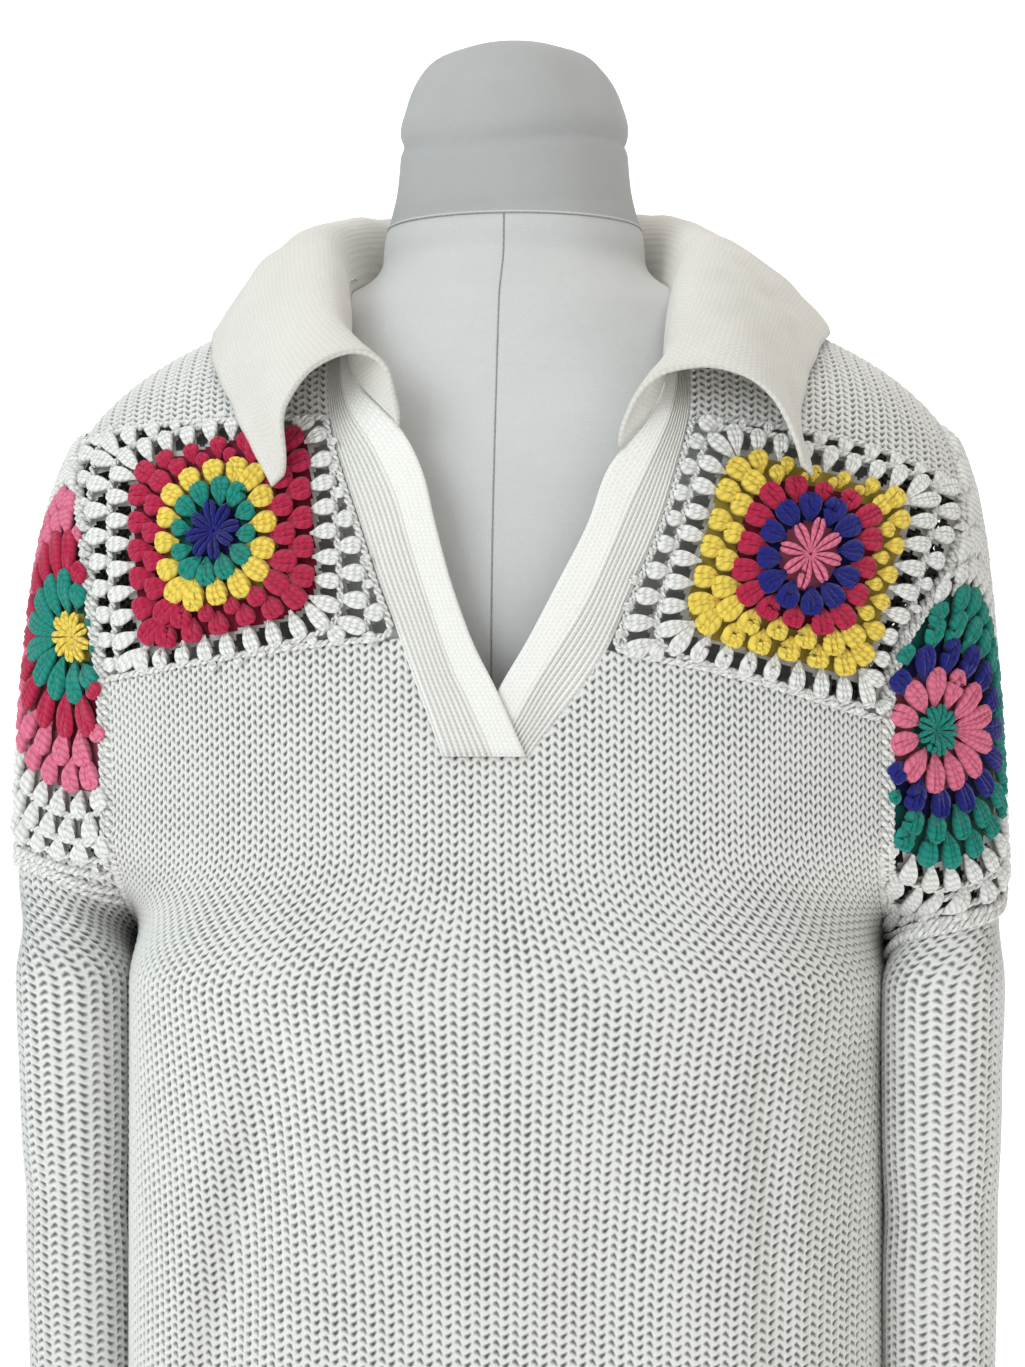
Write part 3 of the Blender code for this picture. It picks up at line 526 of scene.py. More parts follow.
def resample(points, shares):
    """Points at these shares of a line's length."""
    run = run_along(points)
    return np.array([look_up(np.array(shares) * run[-1], run, points[:, k]) for k in range(3)]).T


def edge_reader(rows):
    """x as a function of the turn, for a seam that runs down the cloth."""
    points = smooth_rows(rows)
    turns = turn_at(points[:, 0], points[:, 1])
    order = np.argsort(turns)
    turns = turns[order]
    places = points[order, 0]
    return lambda turn: np.interp(turn, turns, places)


def seam_reader(rows, direction):
    """The turn as a function of x, for a seam that runs across the cloth."""
    points = smooth_rows(rows)
    places = points[:, 0] * direction
    order = np.argsort(places)
    places = places[order]
    turns = turn_at(places, points[order, 1])
    return lambda x: np.interp(x, places, turns)


def level_reader(height):
    return lambda x: turn_at(x, height)


def armhole_reader(side):
    """The armhole's edge from the chest to the shoulder tip, and over it to the ridge."""
    heights = np.linspace(CHEST_LEVEL - 0.02, SHOULDER_TIP, 60)
    places = armhole_width(heights, side)
    turns = turn_at(places, heights)
    turns = np.append(turns, 0.0)[::-1]
    places = np.append(places, outline_width(SHOULDER_TIP))[::-1] - ARMHOLE_INSET
    return lambda turn: SIDES[side] * np.interp(turn, turns, places)


ARMHOLE_EDGES = {side: armhole_reader(side) for side in SIDES}


def armhole_edge(x, turn):
    """The half width at the armhole on the side of this x."""
    return abs(ARMHOLE_EDGES["right" if x < 0.0 else "left"](turn))


def body_half(height, side, count=60):
    """Half of the body's outline at a height, from the middle to the armhole or the side seam."""
    share = np.linspace(0.0, 1.0, count)
    closing = ease(CHEST_LEVEL - height, 0.0, CHEST_LEVEL - UNDERARM_LEVEL)
    depth = cloth_depth(height, side)
    edge = armhole_width(max(height, UNDERARM_LEVEL))
    open_x = edge * share
    open_y = depth * side_falloff(open_x, SIDE_REACH)
    angle = share * math.pi / 2.0
    closed_x = BODY_HALF_WIDTH * np.sin(angle) ** (2.0 / BODY_POWER)
    closed_y = depth * np.cos(angle).clip(0.0) ** (2.0 / BODY_POWER)
    even = np.linspace(0.0, 1.0, count)
    level = np.full(count, height)
    opened = resample(np.stack([open_x, open_y, level], 1), even)
    closed = resample(np.stack([closed_x, closed_y, level], 1), even)
    return mix(opened, closed, closing)


def body_share(x, height, side):
    """The share of the half outline at which this x lies."""
    half = body_half(height, side)
    run = run_along(half)
    return math.copysign(np.interp(abs(x), half[:, 0], run / run[-1]), x)


def outer_top(tops, x):
    return abs(tops[0][0]) if x < 0 else abs(tops[-1][0])


def collar_station(row, side):
    """Neck point, edge point and the two handles of the curve between them."""
    neck_x, neck_height, edge_x, edge_height, lift, stand_rise, roll_out, roll_rise = row
    neck = cloth_at(neck_x, neck_height, side)
    neck_turn = turn_at(neck_x, neck_height)
    neck = neck + COLLAR_SEAT * cloth_normal(neck_x, float(neck_turn), side)
    edge = cloth_at(edge_x, edge_height, side)
    edge_turn = float(turn_at(edge_x, edge_height))
    edge = edge + lift * cloth_normal(edge_x, edge_turn, side)
    away = edge - neck
    away[2] = 0.0
    away = away / np.linalg.norm(away)
    stand = neck + np.array([0.0, 0.0, stand_rise])
    reach = np.linalg.norm((edge - neck)[:2])
    roll = neck + away * (reach * ROLL_OVER + roll_out * ROLL_OUT)
    roll = roll + np.array([0.0, 0.0, roll_rise])
    return np.concatenate([neck, stand, roll, edge])


def super_ring(angle):
    """A ring that is fuller than an ellipse: its width and depth at each angle, from 1 to -1."""
    power = 2.0 / SLEEVE_POWER
    across = np.sign(np.cos(angle)) * np.abs(np.cos(angle)) ** power
    along = np.sign(np.sin(angle)) * np.abs(np.sin(angle)) ** power
    return across, along


def sleeve_outline(height, side, count=48):
    """The sleeve's outline at a height, from the front seam round the outside to the back seam."""
    closing = ease(CHEST_LEVEL - height, 0.0, CHEST_LEVEL - UNDERARM_LEVEL)
    even = np.linspace(0.0, 1.0, 2 * count - 1)
    _, middle_x, middle_y, thick, depth = [
        look_up(height, TUBE_POINTS[:, 0], TUBE_POINTS[:, k]) for k in range(5)
    ]
    across, along = super_ring(even * 2.0 * math.pi)
    level = np.full(2 * count - 1, height)
    ring = np.stack([middle_x - thick * across, middle_y - depth * along, level], 1)
    closed = resample(ring, even)
    if closing >= 1.0:
        return closed
    edge = armhole_width(height, side)
    width = outline_width(height)
    turned = np.sin(np.linspace(0.0, math.pi / 2.0, count))
    x = mix(edge, width, turned)
    turn = turn_at(x, height)
    front = np.array([cloth(a, b, "front") for a, b in zip(x, turn)])
    back = np.array([cloth(a, b, "back") for a, b in zip(x, turn)])
    front[:, 2] = height
    back[:, 2] = height
    opened = resample(np.vstack([front, back[-2::-1]]), even)
    return mix(opened, closed, closing)


def square_seam(side, share):
    """The height of the lower seam of the sleeve's square."""
    seam, rise = SLEEVE_SQUARE_SEAM[side]
    return seam + rise * float(ease(share, 0.0, SEAM_RISE_END))


def form_ring(height, around):
    """The form's outline at a height, as a ring of points."""
    _, torso_width, front, back = [
        look_up(height, TORSO_POINTS[:, 0], TORSO_POINTS[:, k]) for k in range(4)
    ]
    _, neck_width, neck_depth, neck_middle = [
        look_up(height, NECK_POINTS[:, 0], NECK_POINTS[:, k]) for k in range(4)
    ]
    sink = (WALL + FORM_GAP) / math.cos(FORM_SLOPE)
    width = min(torso_width, outline_width(height + sink))
    neck = ease(height, *NECK_START)
    shoulder = ease(height, *SHOULDER_START)
    power = 2.0 / FORM_POWER
    ring = []
    for step in range(around):
        angle = 2.0 * math.pi * step / around
        across = math.cos(angle)
        along = math.sin(angle)
        depth = front if along < 0.0 else back
        plain = np.array(
            [
                width * math.copysign(abs(across) ** power, across),
                depth * math.copysign(abs(along) ** power, along),
            ]
        )
        x = width * across
        drop = max((ridge_height(x) - sink - height) / ROUNDING, 0.0)
        turned = (1.0 - max(1.0 - drop, 0.0) ** ROUNDING_POWER) ** (1.0 / ROUNDING_POWER)
        edge = (1.0 - min(abs(across), 0.9999) ** FORM_EDGE_POWER) ** (1.0 / FORM_EDGE_POWER)
        y = depth * side_falloff(x, FORM_SIDE_REACH) * min(turned, 1.0) * edge
        rounded = np.array([x, math.copysign(y, along)])
        point = mix(plain, rounded, shoulder)
        round_neck = np.array([neck_width * across, neck_middle + neck_depth * along])
        point = mix(point, round_neck, neck)
        ring.append((point[0], point[1], height))
    return ring


# Looks

# Knitting: the size of one loop pair across and of two rows, and the depth of its relief
KNIT_ACROSS = 0.0080
KNIT_ROW = 0.0046
KNIT_RELIEF = 0.0021

# Pieces reach this far under the piece that they are sewn to, and sink there
OVERLAP = 0.0012
SINK = 0.0015
CELL_COLUMNS = 4

# Up to this run from a piece's lower edge the rows of its mesh are coarse
COARSE_RUN = 0.095

# Below the chest a step sideways counts this much in a column's run, so that rows stay level
SIDEWAYS = 0.4

# The holes of the knitting slant by this
SLANT = 1.3

# The columns of loops spread out under the neck opening
SPREAD = 0.28
SPREAD_HEIGHTS = (0.20, 0.52)

YARN = {
    # name: red, green, blue
    "cream": (0.775, 0.770, 0.742),
    "crimson": (0.46, 0.012, 0.060),
    "teal": (0.006, 0.235, 0.185),
    "navy": (0.010, 0.012, 0.185),
    "yellow": (0.80, 0.600, 0.090),
    "pink": (0.72, 0.165, 0.270),
}

# Colours of the panels, of the fine knits and of the form's jersey
CREAM = YARN["cream"]
FINE_CREAM = (0.765, 0.738, 0.685)
BAND_CREAM = (0.90, 0.885, 0.845)
GREY = (0.645, 0.65, 0.645)

# A neck band's width, the number of its ribs, and the share of the width where they start
BAND_WIDTH = 0.034
RIB_COUNT = 15
RIB_START = 0.44

# Ribs round the hem and round a cuff, and their relief
HEM_RIBS = 110
CUFF_RIBS = 26
RIB_RELIEF = 0.0008

# A strand of yarn: the length of a ply's turn, its sides, and the points along a cluster
YARN_PLY = 0.0034
YARN_AROUND = 5
STRAND_STEPS = 9

# Cords of two strands: the size of a strand, and the length of a turn
CORDS = {
    "chain": (0.0010, 0.0085),
    "armhole": (0.0016, 0.0100),
    "square": (0.0013, 0.0095),
    "shoulder": (0.0021, 0.0110),
}

# Crochet clusters: how nearly they stand square on their round, how far a cluster reaches
# back under the round inside it, its half width as a share of its pitch, and the least
# share of its length that is kept at the square's edge
UPRIGHT = 0.6
CLUSTER_BACK = {"openwork": 0.10, "solid": 0.42}
SECOND_ROUND_BACK = 0.12
CENTRE_START = 0.06
CLUSTER_HALF = {"openwork": 0.34, "solid": 0.43}
CLUSTER_KEPT = {"openwork": 0.25, "solid": 0.42}

# A cluster is at most this much of its length and this wide, at the centre less wide
CLUSTER_PLUMPNESS = 0.52
WIDEST_HALF = 0.0062
CENTRE_HALF = 0.0032

# Clusters swell up to this share of their length, and rise this far over the ground
SWELL_END = 0.7
GROUND_LIFT = 0.0002
CLUSTER_LIFT = 0.0023

# Clusters and chains end this far inside a square's edge
BASE_MARGIN = 0.0010
TIP_MARGIN = 0.0018
CHAIN_MARGIN = 0.0022

# The ground of a square lies this far under the cloth's surface
GROUND_SINK = 0.0022

SQUARES = {
    # Rounds of each square: colour, reach inwards, outwards, up and down, power, clusters.
    # The upper and the lower side fall outwards by the tilts, and the top leans outwards.
    "front_right": {
        "centre": (-0.1346, 0.5980),
        "tilt": (0.20, 0.26),
        "lean": 0.09,
        "rounds": (
            ("navy", 0.0130, 0.0130, 0.0135, 0.0135, 2.0, 8),
            ("teal", 0.0215, 0.0205, 0.0245, 0.0255, 2.4, 12),
            ("yellow", 0.0310, 0.0275, 0.0330, 0.0360, 3.2, 16),
            ("crimson", 0.0400, 0.0345, 0.0380, 0.0420, 5.0, 20),
            ("crimson", 0.0485, 0.0425, 0.0440, 0.0495, 7.0, 24),
            ("cream", 0.0600, 0.0545, 0.0540, 0.0630, 9.0, 36),
            ("cream", 0.0720, 0.0670, 0.0650, 0.0760, 11.0, 40),
            ("cream", 0.0840, 0.0800, 0.0770, 0.0890, 12.0, 46),
        ),
    },
    "front_left": {
        "centre": (0.1533, 0.5859),
        "tilt": (0.24, 0.28),
        "lean": 0.26,
        "rounds": (
            ("pink", 0.0137, 0.0137, 0.0165, 0.0165, 2.0, 8),
            ("navy", 0.0235, 0.0225, 0.0265, 0.0275, 2.5, 12),
            ("crimson", 0.0330, 0.0300, 0.0325, 0.0350, 3.4, 16),
            ("yellow", 0.0405, 0.0345, 0.0355, 0.0425, 5.0, 20),
            ("yellow", 0.0485, 0.0400, 0.0400, 0.0500, 7.0, 24),
            ("cream", 0.0605, 0.0520, 0.0500, 0.0620, 9.0, 36),
            ("cream", 0.0730, 0.0645, 0.0610, 0.0745, 11.0, 40),
            ("cream", 0.0860, 0.0780, 0.0740, 0.0880, 12.0, 46),
        ),
    },
    "sleeve_right": {
        "centre": (0.0188, 0.5470),
        "tilt": (0.0, 0.0),
        "lean": 0.0,
        "rounds": (
            ("yellow", 0.0140, 0.0150, 0.0130, 0.0130, 2.0, 9),
            ("teal", 0.0190, 0.0420, 0.0330, 0.0320, 2.1, 12),
            ("crimson", 0.0300, 0.0600, 0.0540, 0.0500, 2.1, 16),
            ("pink", 0.0400, 0.0760, 0.0650, 0.0640, 1.8, 22),
            ("pink", 0.0500, 0.0900, 0.0760, 0.0770, 1.7, 26),
            ("cream", 0.0650, 0.1060, 0.0880, 0.0890, 1.8, 34),
            ("cream", 0.0800, 0.1230, 0.1020, 0.1010, 1.9, 38),
            ("cream", 0.0950, 0.1420, 0.1160, 0.1130, 2.0, 42),
            ("cream", 0.1100, 0.1600, 0.1300, 0.1260, 2.1, 46),
            ("cream", 0.1250, 0.1780, 0.1450, 0.1400, 2.2, 50),
        ),
    },
    "sleeve_left": {
        "centre": (0.0307, 0.5014),
        "tilt": (0.0, 0.0),
        "lean": 0.0,
        "rounds": (
            ("teal", 0.0125, 0.0125, 0.0125, 0.0125, 2.0, 9),
            ("pink", 0.0280, 0.0380, 0.0300, 0.0300, 2.0, 12),
            ("navy", 0.0380, 0.0540, 0.0440, 0.0420, 2.0, 15),
            ("teal", 0.0470, 0.0690, 0.0570, 0.0540, 1.8, 20),
            ("teal", 0.0560, 0.0830, 0.0700, 0.0660, 1.6, 24),
            ("cream", 0.0700, 0.0980, 0.0840, 0.0780, 1.7, 34),
            ("cream", 0.0850, 0.1140, 0.1000, 0.0920, 1.8, 38),
            ("cream", 0.1000, 0.1320, 0.1180, 0.1070, 1.9, 42),
            ("cream", 0.1150, 0.1500, 0.1360, 0.1220, 2.0, 46),
            ("cream", 0.1300, 0.1680, 0.1540, 0.1370, 2.1, 50),
            ("cream", 0.1450, 0.1860, 0.1720, 0.1520, 2.2, 54),
        ),
    },
}


def soft_shader(name, roughness):
    """A soft material: itself, its shader, and three functions that make and join its nodes."""
    made = bpy.data.materials.new(name)
    made.use_nodes = True
    shader = made.node_tree.nodes["Principled BSDF"]
    shader.inputs["Roughness"].default_value = roughness
    shader.inputs["Sheen Weight"].default_value = 0.15
    shader.inputs["Sheen Roughness"].default_value = 0.6
    shader.inputs["Specular IOR Level"].default_value = 0.15
    return made, shader, *node_makers(made.node_tree)


def node_makers(tree):
    """Functions that make a node, set or link a socket, and make a node of maths."""

    def put(socket, value):
        if hasattr(value, "is_linked"):
            tree.links.new(value, socket)
        else:
            socket.default_value = value

    def maths(operation, first, second=None, third=None):
        node = tree.nodes.new("ShaderNodeMath")
        node.operation = operation
        for socket, value in zip(node.inputs, (first, second, third)):
            if value is not None:
                put(socket, value)
        return node.outputs[0]

    return tree.nodes.new, put, maths


def surface_map(make, put):
    """The two coordinates of a piece's surface."""
    parts = make("ShaderNodeSeparateXYZ")
    put(parts.inputs[0], make("ShaderNodeUVMap").outputs[0])
    return parts.outputs[0], parts.outputs[1]


def noise(make, put, scale, detail=3.0):
    made = make("ShaderNodeTexNoise")
    put(made.inputs["Vector"], make("ShaderNodeTexCoord").outputs["Object"])
    put(made.inputs["Scale"], scale)
    put(made.inputs["Detail"], detail)
    return made.outputs[0]


def darker(colour, share):
    return tuple(part * share for part in colour)


def colour_between(shader, make, put, share, tones, span):
    """The shader's colour lies between two tones. The share passes from one to the other."""
    ramp = make("ShaderNodeValToRGB")
    for element, tone, position in zip(ramp.color_ramp.elements, tones, span):
        element.color = (*tone, 1.0)
        element.position = position
    put(ramp.inputs[0], share)
    put(shader.inputs["Base Color"], ramp.outputs[0])


def raise_surface(shader, make, put, height, strength, distance):
    bump = make("ShaderNodeBump")
    put(bump.inputs["Height"], height)
    bump.inputs["Strength"].default_value = strength
    bump.inputs["Distance"].default_value = distance
    put(shader.inputs["Normal"], bump.outputs[0])


def yarn_material(name, colour):
    """Soft yarn of two plies that wind round each other, with painted shade in the groove between the
    plies.
    """
    made, shader, make, put, maths = soft_shader(name, 0.92)
    around, along = surface_map(make, put)
    wind = maths("ADD", maths("MULTIPLY", around, 2.0), maths("DIVIDE", along, YARN_PLY))
    twist = maths("ABSOLUTE", maths("SINE", maths("MULTIPLY", wind, math.pi)))
    fibre = noise(make, put, 1100.0)
    broad = noise(make, put, 70.0, 1.0)
    # The colour follows the twist: darker where the plies meet, painted shade in the groove; the
    # noises vary the tone at random.
    shade = maths("MULTIPLY_ADD", twist, 0.45, maths("MULTIPLY", fibre, 0.45))
    shade = maths("MULTIPLY_ADD", broad, 0.20, shade)
    tones = (darker(colour, 0.62), darker(colour, 1.08))
    colour_between(shader, make, put, shade, tones, (0.15, 0.72))
    height = maths("MULTIPLY_ADD", fibre, 0.5, twist)
    raise_surface(shader, make, put, height, 0.5, 0.0006)
    return made


def knit_material(name, colour):
    """Loops in two columns: bright slanting legs, with painted shade darkening the holes between
    them.
    """
    made, shader, make, put, maths = soft_shader(name, 0.92)
    column, line = surface_map(make, put)
    signed = maths("SUBTRACT", maths("FRACT", column), 0.5)
    across = maths("ABSOLUTE", signed)
    slant = maths("MULTIPLY", signed, maths("MULTIPLY_ADD", across, -2.0 * SLANT, SLANT))
    row = maths("FRACT", maths("SUBTRACT", maths("SUBTRACT", line, across), slant))
    wave = maths("COSINE", maths("MULTIPLY", row, 2.0 * math.pi))
    edge = maths("ABSOLUTE", maths("COSINE", maths("MULTIPLY", across, 2.0 * math.pi)))
    weight = maths("MULTIPLY_ADD", edge, 0.70, 0.30)
    weight = maths("MULTIPLY", weight, maths("MULTIPLY_ADD", across, -0.6, 1.08))
    loop = maths("MULTIPLY", maths("MULTIPLY", weight, wave), 0.45)
    loop = maths("ADD", loop, maths("MULTIPLY", maths("SUBTRACT", 1.0, edge), 0.55))
    fibre = noise(make, put, 1100.0)
    broad = noise(make, put, 30.0, 2.0)
    loop = maths("MULTIPLY_ADD", maths("SUBTRACT", fibre, 0.5), 0.35, loop)
    # The relief also sets the colour: down to a fifth of the yarn's colour in the holes, painted
    # shade there; the broad noise varies the tone at random.
    share = maths("MULTIPLY_ADD", loop, 0.9, 0.42)
    share = maths("MULTIPLY_ADD", maths("SUBTRACT", broad, 0.5), 0.25, share)
    tones = (darker(colour, 0.20), darker(colour, 1.05))
    colour_between(shader, make, put, share, tones, (0.08, 0.70))
    raise_surface(shader, make, put, loop, 0.55, 0.0010)
    return made


def fine_material(name, colour, pitch, row, strength):
    """A fine plain knit: small slanting legs, seen only close by, with painted shade in the valleys
    between them.
    """
    made, shader, make, put, maths = soft_shader(name, 0.9)
    sideways, down = surface_map(make, put)
    column = maths("DIVIDE", sideways, pitch)
    across = maths("ABSOLUTE", maths("SUBTRACT", maths("FRACT", column), 0.5))
    line = maths("SUBTRACT", maths("DIVIDE", down, row), across)
    wave = maths("COSINE", maths("MULTIPLY", line, 2.0 * math.pi))
    valley = maths("COSINE", maths("MULTIPLY", across, 4.0 * math.pi))
    loop = maths("MULTIPLY_ADD", valley, -0.30, maths("MULTIPLY", wave, 0.35))
    fibre = noise(make, put, 1300.0)
    broad = noise(make, put, 22.0, 3.0)
    loop = maths("MULTIPLY_ADD", maths("SUBTRACT", fibre, 0.5), 0.9, loop)
    # The relief also sets the colour: painted shade in the valleys between the legs; the noises vary
    # the tone at random.
    share = maths("MULTIPLY_ADD", loop, 0.35, 0.5)
    share = maths("MULTIPLY_ADD", maths("SUBTRACT", broad, 0.5), 0.30, share)
    tones = (darker(colour, 0.80), darker(colour, 1.04))
    colour_between(shader, make, put, share, tones, (0.15, 0.75))
    raise_surface(shader, make, put, loop, strength, 0.0005)
    return made


def band_material(name, colour):
    """Fine ribs along a band's outer part, with painted shade in the grooves between them."""
    made = fine_material(name, colour, 0.0023, 0.0019, 0.30)
    shader = made.node_tree.nodes["Principled BSDF"]
    make, put, maths = node_makers(made.node_tree)
    across = maths("DIVIDE", surface_map(make, put)[0], BAND_WIDTH)
    phase = maths("MULTIPLY", maths("SUBTRACT", across, 1.0), 2.0 * math.pi * RIB_COUNT)
    furrow_shade = maths("POWER", maths("MULTIPLY_ADD", maths("COSINE", phase), -0.5, 0.5), 3.0)
    outer = maths("GREATER_THAN", across, RIB_START)
    # The colour is mixed towards a dark tone in the grooves between the outer ribs: painted shade.
    mixed = make("ShaderNodeMix")
    mixed.data_type = "RGBA"
    put(mixed.inputs[0], maths("MULTIPLY", maths("MULTIPLY", furrow_shade, outer), 0.28))
    put(mixed.inputs[6], shader.inputs["Base Color"].links[0].from_socket)
    put(mixed.inputs[7], (*darker(colour, 0.22), 1.0))
    put(shader.inputs["Base Color"], mixed.outputs[2])
    return made


FINE_KNITS = {
    # finish: material, colour, width and height of a loop, strength of the relief
    "fine": ("fine_plain_knit", FINE_CREAM, 0.0024, 0.0019, 0.45),
    "rib": ("fine_ribbed_knit", FINE_CREAM, 0.0023, 0.0019, 0.35),
    "jersey": ("jersey_cover", GREY, 0.0013, 0.0011, 0.30),
    "jersey_neck": ("jersey_neck", darker(GREY, 0.70), 0.0013, 0.0011, 0.30),
}
MATERIALS = {name: yarn_material(f"yarn_{name}", colour) for name, colour in YARN.items()}
# The grounds: yarn of each round's colour behind the clusters, darkened as painted shade of the gaps
# between them
for name, colour in YARN.items():
    shade = 0.85 if name == "cream" else 0.6
    MATERIALS[f"{name}_ground"] = yarn_material(f"ground_{name}", darker(colour, shade))
for finish, row in FINE_KNITS.items():
    MATERIALS[finish] = fine_material(*row)
MATERIALS["knit"] = knit_material("half_cardigan_knit", CREAM)
MATERIALS["band"] = band_material("fine_ribbed_band", BAND_CREAM)
MATERIALS["seam"] = yarn_material("jersey_seam", darker(GREY, 0.5))


# Meshes

def new_piece(name, points, faces, materials, uv=None, slots=None):
    """A mesh object from arrays of points and four-cornered faces, moved to the part's place."""
    points = np.asarray(points, float) + (0.0, MIDDLE_SHIFT, 0.0)
    faces = np.asarray(faces, np.int32)
    data = bpy.data.meshes.new(name)
    data.vertices.add(len(points))
    data.vertices.foreach_set("co", points.astype(np.float32).ravel())
    data.loops.add(faces.size)
    data.loops.foreach_set("vertex_index", faces.ravel())
    data.polygons.add(len(faces))
    data.polygons.foreach_set("loop_start", np.arange(0, faces.size, 4, dtype=np.int32))
    for each in materials:
        data.materials.append(MATERIALS[each])
    if slots is not None:
        data.polygons.foreach_set("material_index", np.asarray(slots, np.int32))
    if uv is not None:
        layer = data.uv_layers.new(name="UVMap")
        layer.data.foreach_set("uv", uv[faces.ravel()].astype(np.float32).ravel())
    data.update(calc_edges=True)
    data.validate()
    data.shade_smooth()
    piece = bpy.data.objects.new(name, data)
    bpy.context.scene.collection.objects.link(piece)
    return piece


def grid_faces(rows, columns, wrap=False, flip=False):
    index = np.arange(rows * columns).reshape(rows, columns)
    after = np.roll(index, -1, axis=1) if wrap else index[:, 1:]
    before = index if wrap else index[:, :-1]
    faces = np.stack([before[:-1], after[:-1], after[1:], before[1:]], -1).reshape(-1, 4)
    return faces[:, ::-1] if flip else faces


def grid_normals(grid, outward):
    """Normals of a grid of points, turned to point outwards from a point inside."""
    down = np.gradient(grid, axis=0)
    along = np.gradient(grid, axis=1)
    normal = np.cross(along, down)
    size = np.linalg.norm(normal, axis=2, keepdims=True)
    good = size[..., 0] > 1e-12
    for row in range(1, len(grid)):
        bad = ~good[row]
        normal[row, bad] = normal[row - 1, bad]
        size[row, bad] = size[row - 1, bad]
    normal = normal / np.maximum(size, 1e-12)
    away = np.einsum("rcx,rcx->rc", normal, grid - np.asarray(outward))
    return normal * (1.0 if np.median(away) > 0.0 else -1.0)


def even_rows(dense, step, coarse):
    """Rows at even distances along each column of a dense grid, up to the column's end.

    Up to the given run the rows lie twice as far apart.
    """
    steps = np.diff(dense, axis=0)
    steps[..., :2] *= np.where(dense[1:, :, 2:] < CHEST_LEVEL + 0.03, SIDEWAYS, 1.0)
    lengths = np.linalg.norm(steps, axis=2)
    runs = np.vstack([np.zeros(dense.shape[1]), np.cumsum(lengths, axis=0)])
    stops = np.arange(0.0, runs[-1].max() + step, step)
    keep = (stops > coarse) | (np.arange(len(stops)) % 2 == 0)
    stops = np.minimum(stops[keep][:, None], runs[-1][None, :])
    grid = np.empty((len(stops), dense.shape[1], 3))
    for column in range(dense.shape[1]):
        for axis in range(3):
            grid[:, column, axis] = np.interp(
                stops[:, column], runs[:, column], dense[:, column, axis]
            )
    return grid, stops, stops >= runs[-1][None, :] - 1e-9


def loop_relief(across, row):
    """The relief of the half-cardigan knit, from about -0.8 in a hole to 0.35 on a leg."""
    signed = across - np.floor(across) - 0.5
    near = np.abs(signed)
    edge = np.abs(np.cos(2.0 * math.pi * near))
    wave = np.cos(2.0 * math.pi * (row - near - SLANT * signed * (1.0 - 2.0 * near)))
    weight = (0.3 + 0.7 * edge) * (1.08 - 0.6 * near)
    return 0.55 * (1.0 - edge) + 0.45 * weight * wave - 0.35


def knit_sheet(name, parts, inside, coarse=0.0):
    """One knitted piece of several grids. Each is a dense grid, columns in cells, rows a cell."""
    points = []
    faces = []
    coordinates = []
    total = 0
    for dense, columns, rows_in_cell, first_row in parts:
        grid, stops, ended = even_rows(dense, KNIT_ROW / rows_in_cell, coarse)
        across = np.broadcast_to(columns, stops.shape)
        row = first_row + stops / KNIT_ROW
        normal = grid_normals(grid, inside)
        border = ended.copy()
        border[0] = border[:, 0] = border[:, -1] = True
        lift = KNIT_RELIEF * loop_relief(across, row) - SINK * border
        grid = grid + normal * lift[..., None]
        cells = grid_faces(*stops.shape)
        over = ended.ravel()
        keep = ~over[cells[:, :2]].all(axis=1)
        points.append(grid.reshape(-1, 3))
        faces.append(cells[keep] + total)
        coordinates.append(np.stack([across.ravel(), row.ravel()], 1))
        total += over.size
    return new_piece(
        name, np.vstack(points), np.vstack(faces), ["knit"], uv=np.vstack(coordinates)
    )


# Body

# A point inside the body, from which its pieces face outwards
BODY_MIDDLE = (0.0, 0.0, 0.4)


def body_row(shares, height, side):
    """Points of the body's outer surface at one height."""
    closed = height <= UNDERARM_LEVEL
    inset = 1.0 - (0.0 if closed else SEAM_INSET) / HALF_OUTLINE
    outline = resample(body_half(height, side), np.abs(shares) * inset)
    x = outline[:, 0] * np.sign(shares)
    y = outline[:, 1] - fold_depth(x, height, side)
    return np.stack([x, -y if side == "front" else y, np.full(len(x), height)], 1)


def spread(shares, height):
    """The columns of loops lie further apart under the neck opening."""
    amount = SPREAD * float(ease(height, *SPREAD_HEIGHTS))
    return shares + amount * np.sin(math.pi * shares) / math.pi


def body_sheet(name, side, tops, rows_in_cell, cell_columns):
    cells = int(round(2.0 * HALF_OUTLINE / KNIT_ACROSS))
    shares = np.linspace(-1.0, 1.0, cells * cell_columns + 1)
    fan = spread if side == "front" else (lambda values, height: values)
    heights = np.linspace(HEM_RIB_TOP + SEAM_INSET, CHEST_LEVEL, 60)
    dense = [body_row(fan(shares, height), height, side) for height in heights]
    top_shares = []
    for x, _ in tops:
        reach = armhole_width(CHEST_LEVEL) / outer_top(tops, x)
        top_shares.append(body_share(x * reach, CHEST_LEVEL, side))
    top_shares[0] = -1.0
    top_shares[-1] = 1.0
    places = fan(shares, CHEST_LEVEL)
    top_x = np.interp(places, top_shares, [top[0] for top in tops])
    top_turn = np.interp(places, top_shares, [top[1] for top in tops])
    low_x = dense[-1][:, 0]
    low_turn = turn_at(low_x, CHEST_LEVEL)
    ends = np.where(top_x < 0.0, abs(tops[0][0]), abs(tops[-1][0]))
    for part in np.linspace(0.0, 1.0, 40)[1:]:
        turn = mix(low_turn, top_turn, part)
        x = mix(low_x, top_x, part)
        edge = np.where(x < 0.0, -ARMHOLE_EDGES["right"](turn), ARMHOLE_EDGES["left"](turn))
        straight = mix(armhole_width(CHEST_LEVEL), ends, part)
        x = x * (1.0 + (edge - straight) / straight * (np.abs(x) / straight) ** 2)
        dense.append(cloth(x, turn, side).T)
    columns = np.arange(len(shares)) / cell_columns
    part = (np.array(dense), columns, rows_in_cell, 0.0)
    return knit_sheet(name, [part], BODY_MIDDLE, COARSE_RUN)


